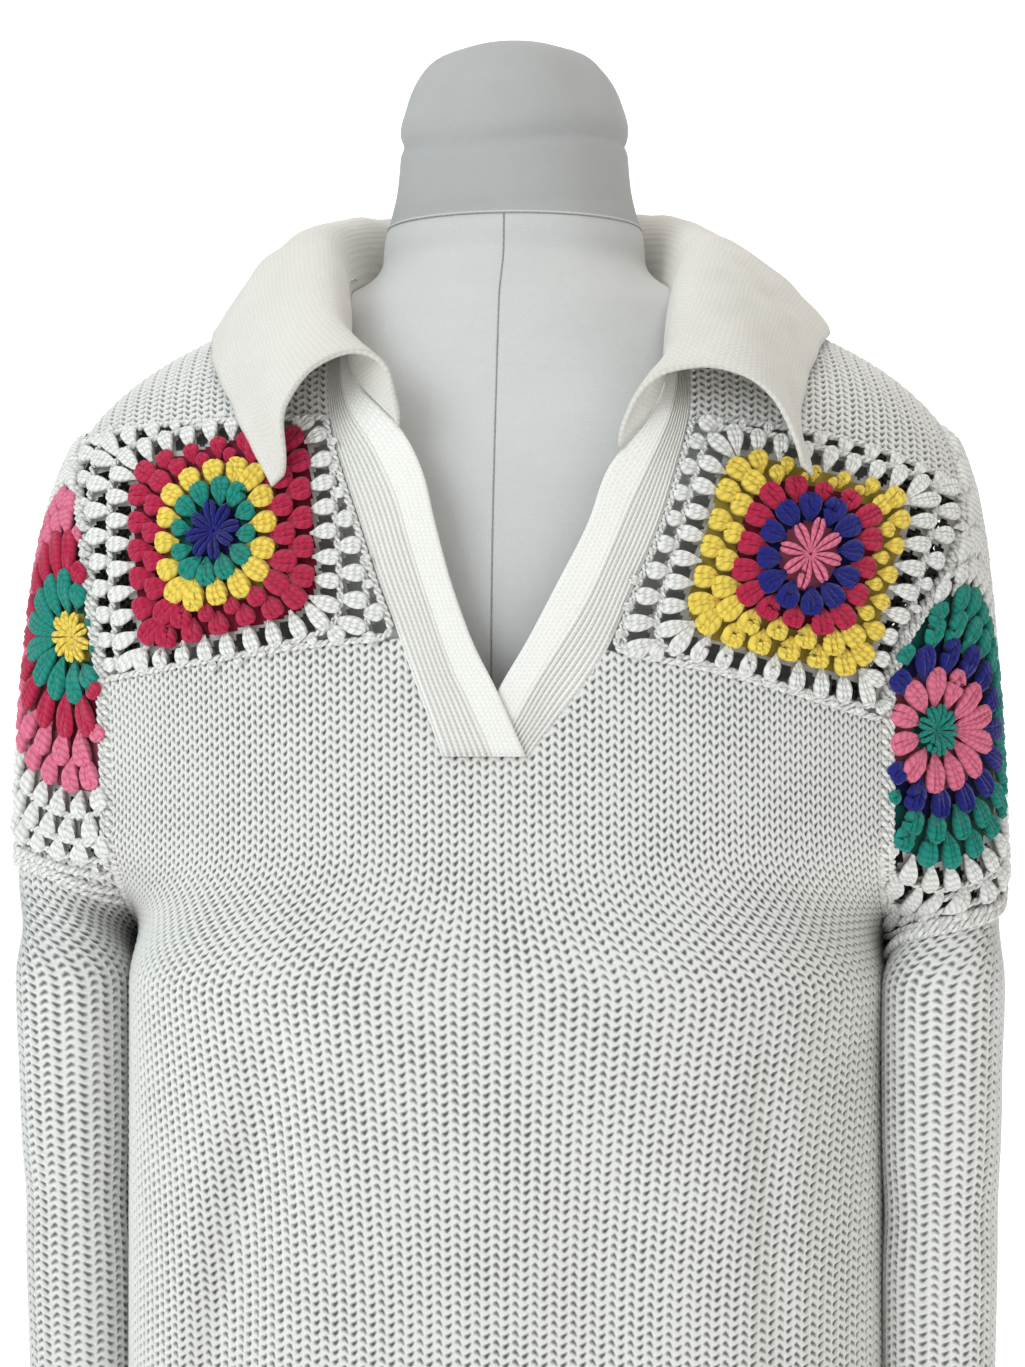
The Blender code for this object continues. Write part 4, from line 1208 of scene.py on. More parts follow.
def fine_front_tops():
    """The front panel's upper edge, in many steps. It reaches under the pieces above it."""

    def bottom(x):
        return float(turn_at(x, BAND_BOTTOM)) - OVERLAP / ROUNDING

    tops = []
    for side, direction in SIDES.items():
        outer_edge = edge_reader(BAND_OUTER[side])
        lower = seam_reader(SQUARE_LOWER[side], direction)
        corner_turn = 1.0
        for _ in range(30):
            corner = outer_edge(corner_turn)
            corner_turn = lower(corner)
        end_turn = 1.4
        for _ in range(30):
            end_turn = bottom(float(outer_edge(end_turn)))
        edge = armhole_edge(direction, lower(direction * armhole_width(CHEST_LEVEL)))
        points = []
        for share in np.linspace(1.0, 0.0, 25):
            x = direction * mix(abs(corner) - OVERLAP, edge, share)
            points.append((float(x), float(lower(x)) - OVERLAP / ROUNDING))
        for share in np.linspace(0.0, 1.0, 13)[1:]:
            turn = mix(corner_turn, end_turn, share)
            x = outer_edge(turn) - direction * OVERLAP
            points.append((float(x), float(turn)))
        last = points[-1][0]
        for share in (0.75, 0.5, 0.25):
            points.append((last * share, bottom(last * share)))
        tops.append(points)
    return tops[0] + [(0.0, bottom(0.0))] + tops[1][::-1]


def fine_back_tops():
    neck = seam_reader(BACK_NECK, 1.0)
    half = []
    for x in np.linspace(outline_width(SHOULDER_TIP) - SEAM_INSET, NECK_CORNER, 24):
        half.append((float(x), SEAM_INSET / SEAM_TURN_REACH))
    for x in np.linspace(NECK_CORNER, 0.0, 12)[1:-1]:
        half.append((float(x), float(neck(x))))
    return [(-x, turn) for x, turn in half] + [(0.0, float(neck(0.0)))] + half[::-1]


def wide_patch(columns, rows, inner, outer, lower, upper, inset=SEAM_INSET):
    """The grid of x and turn between two edges and two seams, for arrays."""
    turn_inset = inset / ROUNDING
    column = np.asarray(columns)[None, :]
    row = np.asarray(rows)[:, None]
    turn = np.full((row.size, column.size), 1.2)
    for _ in range(25):
        start = inner(turn)
        end = outer(turn)
        side_inset = inset * np.sign(end - start)
        x = mix(start + side_inset, end - side_inset, column)
        turn = mix(lower(x) - turn_inset, upper(x) + turn_inset, row)
    return x, turn


def cloth_grid(x, turn):
    return np.moveaxis(cloth(x, turn, "front"), 0, -1)


def cloth_normals(x, turn):
    """The outward direction of the front, for arrays."""
    step = 0.002
    above = np.maximum(turn - step / ROUNDING, 0.0)
    along = cloth(x + step, turn, "front") - cloth(x - step, turn, "front")
    down = cloth(x, turn + step / ROUNDING, "front") - cloth(x, above, "front")
    normal = np.cross(np.moveaxis(down, 0, -1), np.moveaxis(along, 0, -1))
    return unit(normal)


def yoke_sheet(side):
    corner = SIDES[side] * NECK_CORNER
    above_square = [row for row in BAND_OUTER[side] if row[1] > YOKE_EDGE_START]
    x, turn = wide_patch(
        np.linspace(0.0, 1.0, 19 * CELL_COLUMNS + 1),
        np.linspace(0.0, 1.0, 60),
        edge_reader(above_square + [(corner, ridge_height(corner))]),
        ARMHOLE_EDGES[side],
        seam_reader(SQUARE_UPPER[side], SIDES[side]),
        lambda place: 0.0,
        -OVERLAP,
    )
    turn = np.maximum(turn, 0.0)
    columns = np.arange(x.shape[1]) / CELL_COLUMNS
    part = (cloth_grid(x, turn), columns, 4, 0.0)
    return knit_sheet(f"knit_yoke_{side}", [part], BODY_MIDDLE)


def band_sheet(side):
    """A neck band: fine ribs over its outer part, on a plain inside."""
    columns = np.linspace(0.0, 1.0, 8 * RIB_COUNT + 1)
    rows = np.linspace(0.0, 1.0, 46)
    x, turn = wide_patch(
        columns,
        rows,
        edge_reader(BAND_INNER[side]),
        edge_reader(BAND_OUTER[side]),
        level_reader(BAND_BOTTOM),
        level_reader(BAND_TOP),
    )
    height = height_at(x, turn)
    lift = LAP_LIFT * ease(LAP_TOP - height, 0.0, LAP_TOP - LAP_FULL)
    lift = lift if side == "right" else 0.0 * lift
    normal = cloth_normals(x, turn)
    outer = ease(columns, RIB_START - 0.04, RIB_START + 0.04)
    waves = np.cos(2.0 * math.pi * (columns - 1.0) * RIB_COUNT)
    relief = (0.00010 + 0.00070 * outer) * waves
    edge = np.minimum(ease(columns, 0.0, 0.035), ease(1.0 - columns, 0.0, 0.03))
    relief = relief * edge - 0.0010 * (1.0 - edge)
    grid = cloth_grid(x, turn)
    outside = grid + normal * (lift + relief)[..., None]
    inside = grid + normal * (lift - BAND_WALL)[..., None]
    down = rows[:, None] * 0.20
    uv = np.stack(np.broadcast_arrays(columns[None, :] * BAND_WIDTH, down), -1)
    return walled(f"band_{side}", outside, inside, uv, "band", SIDES[side] < 0)


def walled(name, outside, inside, uv, finish, flip, wrap=False):
    """A closed wall from an outer and an inner grid of the same size."""
    rows, columns = outside.shape[:2]
    count = rows * columns
    faces = [grid_faces(rows, columns, wrap, flip)]
    faces.append(grid_faces(rows, columns, wrap, not flip) + count)
    index = np.arange(count).reshape(rows, columns)
    edges = []
    if wrap:
        for line in (index[0], index[-1][::-1]):
            edges.append((line, np.roll(line, -1)))
    else:
        border = np.concatenate([index[0], index[1:, -1], index[-1, -2::-1], index[-2:0:-1, 0]])
        edges.append((border, np.roll(border, -1)))
    for first, second in edges:
        wall = np.stack([first, first + count, second + count, second], 1)
        faces.append(wall[:, ::-1] if flip else wall)
    points = np.vstack([outside.reshape(-1, 3), inside.reshape(-1, 3)])
    uv = np.vstack([uv.reshape(-1, 2)] * 2)
    return new_piece(name, points, np.vstack(faces), [finish], uv=uv)


# The collar

# A point inside the collar, from which it faces outwards
COLLAR_MIDDLE = (0.0, 0.0, 0.62)

# Each end arches up, and that fades along the collar
ARCH_REACH = 0.030
ARCH_RISE = {"right": 0.014, "left": 0.015}

# The leaf's corner is drawn forwards by this, at this share of the way out
CORNER_REACH = 0.008
CORNER_FADE = 0.016
CORNER_PLACE = 0.86
CORNER_SPREAD = 0.12

# The cloth is uneven by this: a sum of waves, each of a draw's direction and length
UNEVEN = 0.0007
UNEVEN_WAVES = 14
WAVE_NUMBERS = (90.0, 300.0)

# The start of the collar sinks towards the neck by this, and by this share
NECK_SINK = 0.010
NECK_DRAW = 0.030


def collar_lines():
    """The collar's middle surface, as lines from the neck seam to the outer edge."""
    right = [collar_station(row, "front") for row in COLLAR_STATIONS["right"]]
    left = [collar_station(row, "front") for row in COLLAR_STATIONS["left"]]
    back = [collar_station(row, "back") for row in COLLAR_BACK]
    mirrored = back[0].copy()
    mirrored[0::3] *= -1.0
    stations = right + [mirrored, back[1], back[0]] + left[::-1]
    shares = np.linspace(0.0, 1.0, 40)
    share = shares[:, None]
    rest = 1.0 - share
    clears = COLLAR_SEAT + COLLAR_FALL * shares
    grid = []
    for line in smooth_rows(stations):
        neck, stand, roll, edge = line.reshape(4, 3)
        points = rest**3 * neck + 3 * rest**2 * share * stand
        points = points + 3 * rest * share**2 * roll + share**3 * edge
        points = resample(points, shares)
        grid.append([pushed_out(point, clear) for point, clear in zip(points, clears)])
    return np.array(grid), shares


def collar_sheet():
    grid, shares = collar_lines()
    normal = grid_normals(grid, COLLAR_MIDDLE)
    run = run_along(grid[:, 20])
    for side, away in (("right", run), ("left", run[-1] - run)):
        fade = np.exp(-((away / ARCH_REACH) ** 2))[:, None]
        arch = np.sin(math.pi * np.clip((shares - 0.12) / 0.80, 0.0, 1.0) ** 1.4)[None, :]
        grid = grid + normal * (ARCH_RISE[side] * fade * arch)[..., None]
        first, second = (0, 3) if side == "right" else (-1, -4)
        forwards = unit(grid[first] - grid[second])
        fade = np.exp(-((away / CORNER_FADE) ** 2))[:, None, None]
        corner = np.exp(-(((shares - CORNER_PLACE) / CORNER_SPREAD) ** 2))[None, :, None]
        grid = grid + forwards[None] * CORNER_REACH * fade * corner
    draw = np.random.default_rng(11)
    wave = np.zeros(grid.shape[:2])
    for _ in range(UNEVEN_WAVES):
        way = draw.normal(0.0, 1.0, 3)
        way = way / np.linalg.norm(way) * draw.uniform(*WAVE_NUMBERS)
        wave = wave + np.sin(grid @ way + draw.uniform(0.0, 6.3)) / 3.0
    grid = grid + normal * (UNEVEN * wave * ease(shares, 0.05, 0.35)[None, :])[..., None]
    inside = np.exp(-((shares / 0.07) ** 2))[None, :]
    inside = inside * ease(np.minimum(run, run[-1] - run), 0.03, 0.07)[:, None]
    grid[..., 2] -= NECK_SINK * inside
    grid[..., :2] *= 1.0 - NECK_DRAW * inside[..., None]
    normal = grid_normals(grid, COLLAR_MIDDLE)
    uv = np.stack(np.broadcast_arrays(run[:, None], shares[None, :] * 0.085), -1)
    rim = np.minimum(ease(shares, 0.0, 0.02), ease(1.0 - shares, 0.0, 0.03))[None, :, None]
    wall = COLLAR_WALL / 2.0 * (0.35 + 0.65 * rim)
    return walled("collar_fold", grid + normal * wall, grid - normal * wall, uv, "fine", True)


# Sleeves

def sleeve_row(side, shares, height):
    inset = 0.0 if height <= UNDERARM_LEVEL else ARMHOLE_INSET / SLEEVE_OUTLINE
    shares = np.clip(shares, inset, 1.0 - inset)
    outline = sleeve_outline(height, side)
    point = resample(outline, shares)
    ahead = resample(outline, np.minimum(shares + 0.01, 1.0))
    ahead = ahead - resample(outline, np.maximum(shares - 0.01, 0.0))
    inward = unit(np.stack([-ahead[:, 1], ahead[:, 0], np.zeros(len(shares))], 1))
    press = 0.0
    for middle, way, depth, reach in SLEEVE_FOLDS:
        along = math.exp(-(((height - middle) / reach) ** 2))
        around = np.exp(-(((shares - way) / FOLD_ROUND) ** 2))
        press = press + depth * along * around * np.minimum(4.0 * shares * (1.0 - shares), 1.0)
    point = point + inward * np.asarray(press)[:, None]
    closing = ease(CHEST_LEVEL - height, 0.0, CHEST_LEVEL - UNDERARM_LEVEL)
    corners = np.exp(-(((np.minimum(shares, 1.0 - shares) - 0.16) / 0.07) ** 2))
    point[:, 0] = (point[:, 0] - SLEEVE_PRESS * closing * corners) * SIDES[side]
    return point


TABLE_HEIGHTS = np.linspace(CUFF_HEIGHT, SLEEVE_TOP, 160)
TABLE_SHARES = np.linspace(0.0, 1.0, 121)
SLEEVE_TABLES = {
    side: np.array([sleeve_row(side, TABLE_SHARES, height) for height in TABLE_HEIGHTS])
    for side in SIDES
}


def sleeve_at(side, share, height):
    """Points of a sleeve read from its table, for arrays of shares and heights."""
    table = SLEEVE_TABLES[side]
    rows = np.interp(height, TABLE_HEIGHTS, np.arange(len(TABLE_HEIGHTS)))
    columns = np.interp(share, TABLE_SHARES, np.arange(len(TABLE_SHARES)))
    low = np.minimum(rows.astype(int), len(TABLE_HEIGHTS) - 2)
    left = np.minimum(columns.astype(int), len(TABLE_SHARES) - 2)
    up = (rows - low)[..., None]
    over = (columns - left)[..., None]
    lower = mix(table[low, left], table[low, left + 1], over)
    upper = mix(table[low + 1, left], table[low + 1, left + 1], over)
    return mix(lower, upper, up)


def sleeve_sheet(side):
    cells = int(round(SLEEVE_OUTLINE / KNIT_ACROSS))
    shares = np.linspace(0.0, 1.0, cells * CELL_COLUMNS + 1)
    seam = np.array([square_seam(side, share) + OVERLAP for share in shares])
    parts = np.linspace(0.0, 1.0, 70)[:, None]
    heights = mix(CUFF_RIB_TOP + SEAM_INSET, seam[None, :], parts)
    lower = sleeve_at(side, np.broadcast_to(shares, heights.shape), heights)
    columns = np.arange(len(shares)) / CELL_COLUMNS
    first = SQUARE_SHARE - OVERLAP / SLEEVE_OUTLINE
    upper_shares = np.concatenate([[first], shares[shares > first + 0.002]])
    seam_above = np.array([square_seam(side, share) for share in upper_shares])
    heights = mix(seam_above[None, :] - SLEEVE_SEAM_INSET, SLEEVE_TOP, parts)
    upper = sleeve_at(side, np.broadcast_to(upper_shares, heights.shape), heights)
    upper_columns = upper_shares * cells
    middle = (SIDES[side] * 0.22, 0.0, 0.35)
    first_row = (float(np.mean(seam)) - CUFF_RIB_TOP) / KNIT_ROW
    pieces = [(lower, columns, 3, 0.0), (upper, upper_columns, 2, first_row)]
    return knit_sheet(f"knit_sleeve_{side}", pieces, middle, COARSE_RUN / 2.0)


# Ribbing at the hem and the cuffs

def ring_normals(ring):
    ahead = np.roll(ring, -1, axis=0) - np.roll(ring, 1, axis=0)
    normal = unit(np.stack([ahead[:, 1], -ahead[:, 0], np.zeros(len(ring))], 1))
    away = np.einsum("ix,ix->i", normal[:, :2], ring[:, :2] - ring[:, :2].mean(axis=0))
    return normal * (1.0 if np.median(away) > 0.0 else -1.0)


def ribbed_rows(read, heights, ribs, name, flip):
    """A closed ring of ribbing: read gives its outline at a height."""
    outside = []
    inside = []
    for height in heights:
        ring = read(height)
        steps = np.linalg.norm(np.diff(ring, axis=0, append=ring[:1]), axis=1)
        run = np.concatenate([[0.0], np.cumsum(steps)[:-1]]) / steps.sum()
        normal = ring_normals(ring)
        edge = min(1.0, (height - heights[0]) / 0.002 + 0.3)
        relief = RIB_RELIEF * np.cos(2.0 * math.pi * ribs * run) * edge - 0.0006 * (1.0 - edge)
        outside.append(ring + normal * relief[:, None])
        inside.append(ring - normal * WALL)
    outside = np.array(outside)
    around = run_along(outside[0])
    down = run_along(outside[:, 0])
    uv = np.stack(np.broadcast_arrays(around[None, :], down[:, None]), -1)
    return walled(name, outside, np.array(inside), uv, "rib", flip, wrap=True)


def hem_ring(height):
    shares = np.linspace(-1.0, 1.0, 281)
    front = body_row(shares[:-1], height, "front")
    back = body_row(shares[::-1][:-1], height, "back")
    front[0, 1] = 0.0
    back[0, 1] = 0.0
    return np.vstack([front, back])


def cuff_reader(side):
    shares = np.linspace(0.0, 1.0, 241)[:-1]
    return lambda height: sleeve_row(side, shares, height)


# Yarn

def on_front(x, height, lift):
    turn = turn_at(x, height)
    return cloth_grid(x, turn) + cloth_normals(x, turn) * np.asarray(lift)[..., None]


def on_sleeve(side):
    def place(way, height, lift):
        share = np.clip(way / SLEEVE_OUTLINE, 0.0, 1.0)
        here = sleeve_at(side, share, height)
        along = sleeve_at(side, np.clip(share + 0.01, 0.0, 1.0), height)
        along = along - sleeve_at(side, np.clip(share - 0.01, 0.0, 1.0), height)
        up = sleeve_at(side, share, height + 0.003) - sleeve_at(side, share, height - 0.003)
        normal = unit(np.cross(along, up) * SIDES[side])
        return here + normal * np.asarray(lift)[..., None]

    return place


def ring_line(extents, power, angles, outer_sign, tilt, lean):
    """A round's outline: it reaches inwards, outwards, up and down by its own amounts.

    Its upper and its lower side fall outwards by the tilts, and its top leans outwards.
    """
    inwards, outwards, up, down = extents
    across = np.cos(angles)
    along = np.sin(angles)
    size = (np.abs(across) ** power + np.abs(along) ** power) ** (-1.0 / power)
    x = np.where(across > 0.0, outwards, inwards) * size * across * outer_sign
    z = np.where(along > 0.0, up, down) * size * along
    fall = mix(tilt[1], tilt[0], (along + 1.0) / 2.0) * x * outer_sign
    return np.stack([x + lean * z * outer_sign, z - fall], -1)


def ring_spans(inner, outer, angles, outer_sign, tilt, lean):
    """Pairs of points on two outlines. The line between them stands nearly square on the outer."""
    ends = ring_line(*outer, angles, outer_sign, tilt, lean)
    starts = ring_line(*inner, angles, outer_sign, tilt, lean)
    tangent = ring_line(*outer, angles + 0.03, outer_sign, tilt, lean)
    tangent = unit(tangent - ring_line(*outer, angles - 0.03, outer_sign, tilt, lean))
    slant = np.einsum("ix,ix->i", ends - starts, tangent)[:, None]
    return starts + UPRIGHT * slant * tangent, ends


def ring_stops(extents, power, count, phase, outer_sign, tilt, lean):
    """Angles at which clusters stand, at even distances round the outline."""
    angles = np.linspace(0.0, 2.0 * math.pi, 1441)
    line = ring_line(extents, power, angles, outer_sign, tilt, lean)
    run = run_along(line)
    stops = (np.arange(count) + phase) / count * run[-1]
    return np.interp(stops, run, angles), run[-1] / count


def shortened(base, tip, inside, kept):
    """The share of a cluster's length that lies on the square, or 0 where too little does."""
    if inside(*base) < BASE_MARGIN:
        return 0.0
    share = 1.0
    while share > 0.3 and inside(*(base + (tip - base) * share)) < TIP_MARGIN:
        share -= 0.05
    return share if share >= kept else 0.0


def cluster(base, tip, half, wobble, topped):
    """The strands of one cluster: lines, with their lift and their radius.

    Two swell side by side. A topped cluster has one more between them and one across its top.
    """
    steps = np.linspace(0.0, 1.0, STRAND_STEPS)
    along = (tip - base) / np.linalg.norm(tip - base)
    across = np.array([-along[1], along[0]])
    swelling = np.sin(0.5 * math.pi * np.minimum(steps / SWELL_END, 1.0))
    closing = np.sqrt(np.maximum(1.0 - (np.maximum(steps - SWELL_END, 0.0) / 0.36) ** 2, 0.0))
    width = half * (0.16 + 0.84 * swelling**1.3) * closing
    lift = GROUND_LIFT + CLUSTER_LIFT * swelling * (0.55 + 0.45 * closing)
    spine = base + np.outer(steps, tip - base) + wobble
    strands = []
    for strand in (-1.0, 1.0):
        bow = spine + np.outer(width * 0.52 * strand, across)
        strands.append((bow, lift, np.clip(width * 0.47, 0.0006, 0.0026)))
    if topped:
        bow = spine + np.outer(width * 0.10 * np.sin(9.0 * steps), across)
        strands.append((bow, lift + 0.0004 * steps, np.clip(width * 0.36, 0.0005, 0.0020)))
        top = np.linspace(-1.0, 1.0, STRAND_STEPS)
        bow = tip - along * 0.0014 + np.outer(top * half * 0.62, across)
        bow = bow + np.outer((1.0 - top**2) * 0.0012, along)
        radius = 0.00125 * np.sqrt(np.maximum(1.06 - top**2, 0.1))
        strands.append((bow, 0.0020 + 0.0008 * (1.0 - top**2), radius))
    return strands


def chain_stretches(outline, inside):
    """The stretches of a round's outline that lie on the square."""
    kept = np.array([inside(*point) > CHAIN_MARGIN for point in outline])
    changes = np.flatnonzero(np.diff(kept.astype(int), prepend=0, append=0))
    pairs = zip(changes[::2], changes[1::2])
    return [outline[first:last] for first, last in pairs if last - first > 4]


def crochet_square(key, place, inside, outer_sign, border):
    """The yarn of one square, round by round, and the gaps that its openwork leaves."""
    centre = np.array(SQUARES[key]["centre"])
    shape = (outer_sign, SQUARES[key]["tilt"], SQUARES[key]["lean"])
    draw = np.random.default_rng(sum(map(ord, key)))
    made = {}
    gaps = []
    chains = list(border)
    inner = ((0.0015, 0.0015, 0.0015, 0.0015), 2.0)
    for number, (colour, *extents, power, count) in enumerate(SQUARES[key]["rounds"]):
        outer = (extents, power)
        phase = 0.5 * (number % 2)
        kind = "openwork" if colour == "cream" else "solid"
        angles, pitch = ring_stops(*outer, count, phase, *shape)
        starts, ends = ring_spans(inner, outer, angles, *shape)
        back = SECOND_ROUND_BACK if number == 1 else CLUSTER_BACK[kind]
        for tip, base in zip(ends + centre, starts + centre):
            if number:
                base = base - (tip - base) * back
            else:
                base = centre + (tip - centre) * CENTRE_START
            tip = tip + draw.normal(0.0, 0.0004, 2)
            share = shortened(base, tip, inside, CLUSTER_KEPT[kind])
            if share == 0.0:
                continue
            tip = base + (tip - base) * share
            half = min(
                pitch * CLUSTER_HALF[kind],
                np.linalg.norm(tip - base) * CLUSTER_PLUMPNESS,
                WIDEST_HALF if number else CENTRE_HALF,
            )
            wobble = draw.normal(0.0, 0.00015, 2)
            strands = cluster(base, tip, half, wobble, number > 0)
            made.setdefault(colour, []).extend(strands)
        if kind == "openwork":
            around = np.linspace(0.0, 2.0 * math.pi, 361)
            chains += chain_stretches(ring_line(*outer, around, *shape) + centre, inside)
            turned, _ = ring_stops(*outer, count, phase + 0.5, *shape)
            starts, ends = ring_spans(inner, outer, turned, *shape)
            for start, end in zip(starts + centre, ends + centre):
                along = (end - start) / max(np.linalg.norm(end - start), 1e-6)
                long_half = 0.36 * np.linalg.norm(end - start)
                gaps.append((mix(start, end, 0.52), along, long_half, min(pitch * 0.30, 0.0034)))
        inner = outer
    pieces = []
    for colour, strands in made.items():
        flat, lift, radii = (np.array(part) for part in zip(*strands))
        lines = place(flat[..., 0], flat[..., 1], lift)
        pieces.append(strand_set(f"yarn_{key}_{colour}", lines, radii, colour))
    pieces.append(cord(f"yarn_{key}_chain", laid(place, chains, 0.0008), "chain"))
    return pieces, gaps


def laid(place, lines, lift):
    """Lines of x and height brought onto the cloth, in even steps."""
    made = []
    for line in lines:
        line = np.asarray(line, float)
        run = run_along(line)
        stops = np.linspace(0.0, run[-1], max(int(run[-1] / 0.0012), 4))
        path = [np.interp(stops, run, line[:, k]) for k in range(2)]
        made.append(place(*path, np.full(len(stops), lift)))
    return made


def cord(name, lines, kind):
    """Two strands that wind round each other along lines of points."""
    size, turn = CORDS[kind]
    strands = []
    radii = []
    for line in lines:
        line = np.asarray(line, float)
        run = run_along(line)
        stops = np.linspace(0.0, run[-1], max(int(run[-1] / (turn / 7.0)), 4))
        path = np.stack([np.interp(stops, run, line[:, k]) for k in range(3)], 1)
        ahead = unit(np.gradient(path, axis=0))
        side = unit(np.cross(ahead, (0.0, -0.96, 0.28)))
        other = np.cross(side, ahead)
        for phase in (0.0, math.pi):
            angle = (2.0 * math.pi * stops / turn + phase)[:, None]
            strands.append(path + size * (np.cos(angle) * side + 0.7 * np.sin(angle) * other))
            radii.append(np.full(len(stops), size * 1.02))
    return strand_set(name, strands, radii, "cream")


def strand_set(name, strands, radii, colour):
    """Strands of yarn in one mesh: lines of points, and the radius at each point."""
    points = []
    faces = []
    coordinates = []
    total = 0
    sides = YARN_AROUND + 1
    angles = np.linspace(0.0, 2.0 * math.pi, sides)
    for line, radius in zip(strands, radii):
        ahead = unit(np.gradient(line, axis=0))
        side = unit(np.cross(ahead, (0.31, 0.27, 0.91)))
        other = np.cross(ahead, side)
        ring = np.cos(angles)[None, :, None] * side[:, None]
        ring = ring + np.sin(angles)[None, :, None] * other[:, None]
        run = run_along(line)
        points.append((line[:, None] + ring * np.asarray(radius)[:, None, None]).reshape(-1, 3))
        around = np.broadcast_arrays(angles[None, :] / (2.0 * math.pi), run[:, None])
        coordinates.append(np.stack(around, -1).reshape(-1, 2))
        faces.append(grid_faces(len(line), sides, flip=True) + total)
        total += len(line) * sides
    return new_piece(
        name, np.vstack(points), np.vstack(faces), [colour], uv=np.vstack(coordinates)
    )


def ground_sheet(name, key, flat, points, gaps, outer_sign, flip):
    """The ground of a square behind its yarn, in its rounds' colours darkened as painted shade, with
    the openwork's gaps left out.
    """
    centre = np.array(SQUARES[key]["centre"])
    rounds = SQUARES[key]["rounds"]
    rows, columns = points.shape[:2]
    faces = grid_faces(rows, columns, flip=flip)
    middles = flat.reshape(-1, 2)[faces].mean(axis=1)
    offset = (middles - centre) * (outer_sign, 1.0)
    tilt = sum(SQUARES[key]["tilt"]) / 2.0
    lean = SQUARES[key]["lean"]
    across = (offset[:, 0] - lean * offset[:, 1]) / (1.0 + lean * tilt)
    offset = np.stack([across, offset[:, 1] + tilt * across], 1)
    chosen = np.full(len(faces), -1)
    for number, (colour, inwards, outwards, up, down, power, _) in enumerate(rounds):
        reach_x = np.where(offset[:, 0] > 0.0, outwards, inwards)
        reach_z = np.where(offset[:, 1] > 0.0, up, down)
        level = np.abs(offset[:, 0] / reach_x) ** power + np.abs(offset[:, 1] / reach_z) ** power
        chosen[(chosen < 0) & (level <= 1.0)] = number
    chosen[chosen < 0] = len(rounds) - 1
    names = sorted({round_[0] for round_ in rounds})
    slots = np.array([names.index(rounds[number][0]) for number in chosen])
    keep = np.ones(len(faces), bool)
    for spot, along, long_half, wide_half in gaps:
        away = middles - spot
        lengthwise = away @ along
        crosswise = away @ np.array([-along[1], along[0]])
        keep &= (lengthwise / long_half) ** 2 + (crosswise / wide_half) ** 2 > 1.0
    # Each round's ground is its colour darkened: painted shade of the gaps between the clusters.
    finishes = [f"{colour}_ground" for colour in names]
    return new_piece(name, points.reshape(-1, 3), faces[keep], finishes, slots=slots[keep])


def front_square(side):
    direction = SIDES[side]
    inner = edge_reader(BAND_OUTER[side])
    outer = ARMHOLE_EDGES[side]
    lower = seam_reader(SQUARE_LOWER[side], direction)
    upper = seam_reader(SQUARE_UPPER[side], direction)

    def inside(x, height):
        turn = turn_at(x, height)
        across = min(direction * (x - inner(turn)), direction * (outer(turn) - x))
        return min(across, (lower(x) - turn) * ROUNDING, (turn - upper(x)) * ROUNDING)

    x, turn = wide_patch(
        np.linspace(0, 1, 96), np.linspace(0, 1, 80), inner, outer, lower, upper, -OVERLAP
    )
    normal = cloth_normals(x, turn)
    points = cloth_grid(x, turn) - normal * GROUND_SINK
    flat = np.stack([x, height_at(x, turn)], -1)
    edge_x, edge_turn = wide_patch(
        (0.007, *np.linspace(0.04, 0.96, 30), 0.993),
        (0.012, *np.linspace(0.04, 0.96, 30), 0.988),
        inner,
        outer,
        lower,
        upper,
    )
    rim = np.stack([edge_x, height_at(edge_x, edge_turn)], -1)
    bend = np.linspace(0.0, 1.0, 7)[:, None]
    before, corner, after = rim[0, 2], rim[0, 0], rim[2, 0]
    bend = (1.0 - bend) ** 2 * before + 2.0 * bend * (1.0 - bend) * corner + bend**2 * after
    border = np.concatenate([rim[0, :2:-1], bend, rim[3:, 0], rim[-1, 1:]])
    key = f"front_{side}"
    yarn, gaps = crochet_square(key, on_front, inside, direction, [border])
    ground = ground_sheet(f"square_{key}", key, flat, points, gaps, direction, direction < 0)
    return ground, yarn


def sleeve_square(side):
    def inside(way, height):
        below = square_seam(side, np.clip(way / SLEEVE_OUTLINE, 0.0, 1.0)) + SLEEVE_SEAM_INSET
        end = SQUARE_SHARE * SLEEVE_OUTLINE - ARMHOLE_INSET
        return min(way - ARMHOLE_INSET, end - way, height - below, SLEEVE_TOP - height)

    shares = np.linspace(0.0, SQUARE_SHARE - ARMHOLE_INSET / SLEEVE_OUTLINE, 92)
    seam = np.array([square_seam(side, share) + SLEEVE_SEAM_INSET for share in shares])
    heights = mix(seam[None, :], SLEEVE_TOP, np.linspace(0.0, 1.0, 112)[:, None])
    ways = np.broadcast_to(shares * SLEEVE_OUTLINE, heights.shape)
    place = on_sleeve(side)
    points = place(ways, heights, np.full(heights.shape, -GROUND_SINK))
    flat = np.stack([ways, heights], -1)
    border = [np.stack([ways[2], heights[2]], 1), np.stack([ways[6], heights[6]], 1)]
    border.append(np.stack([ways[:, 2], heights[:, 2]], 1))
    key = f"sleeve_{side}"
    yarn, gaps = crochet_square(key, place, inside, 1.0, border)
    flip = SIDES[side] < 0
    ground = ground_sheet(f"square_{key}", key, flat, points, gaps, 1.0, flip)
    return ground, yarn


# Seams

# How far below the square's seam the second seam starts at the underarm, and where it ends
UNDERARM_DROP = {"right": 0.017, "left": 0.030}
SEAM_DROP = 0.0085

# The armhole's cord lies this far outside the seam, and this far back in it
ARMHOLE_OUT = 0.0010
ARMHOLE_BACK = 0.0012


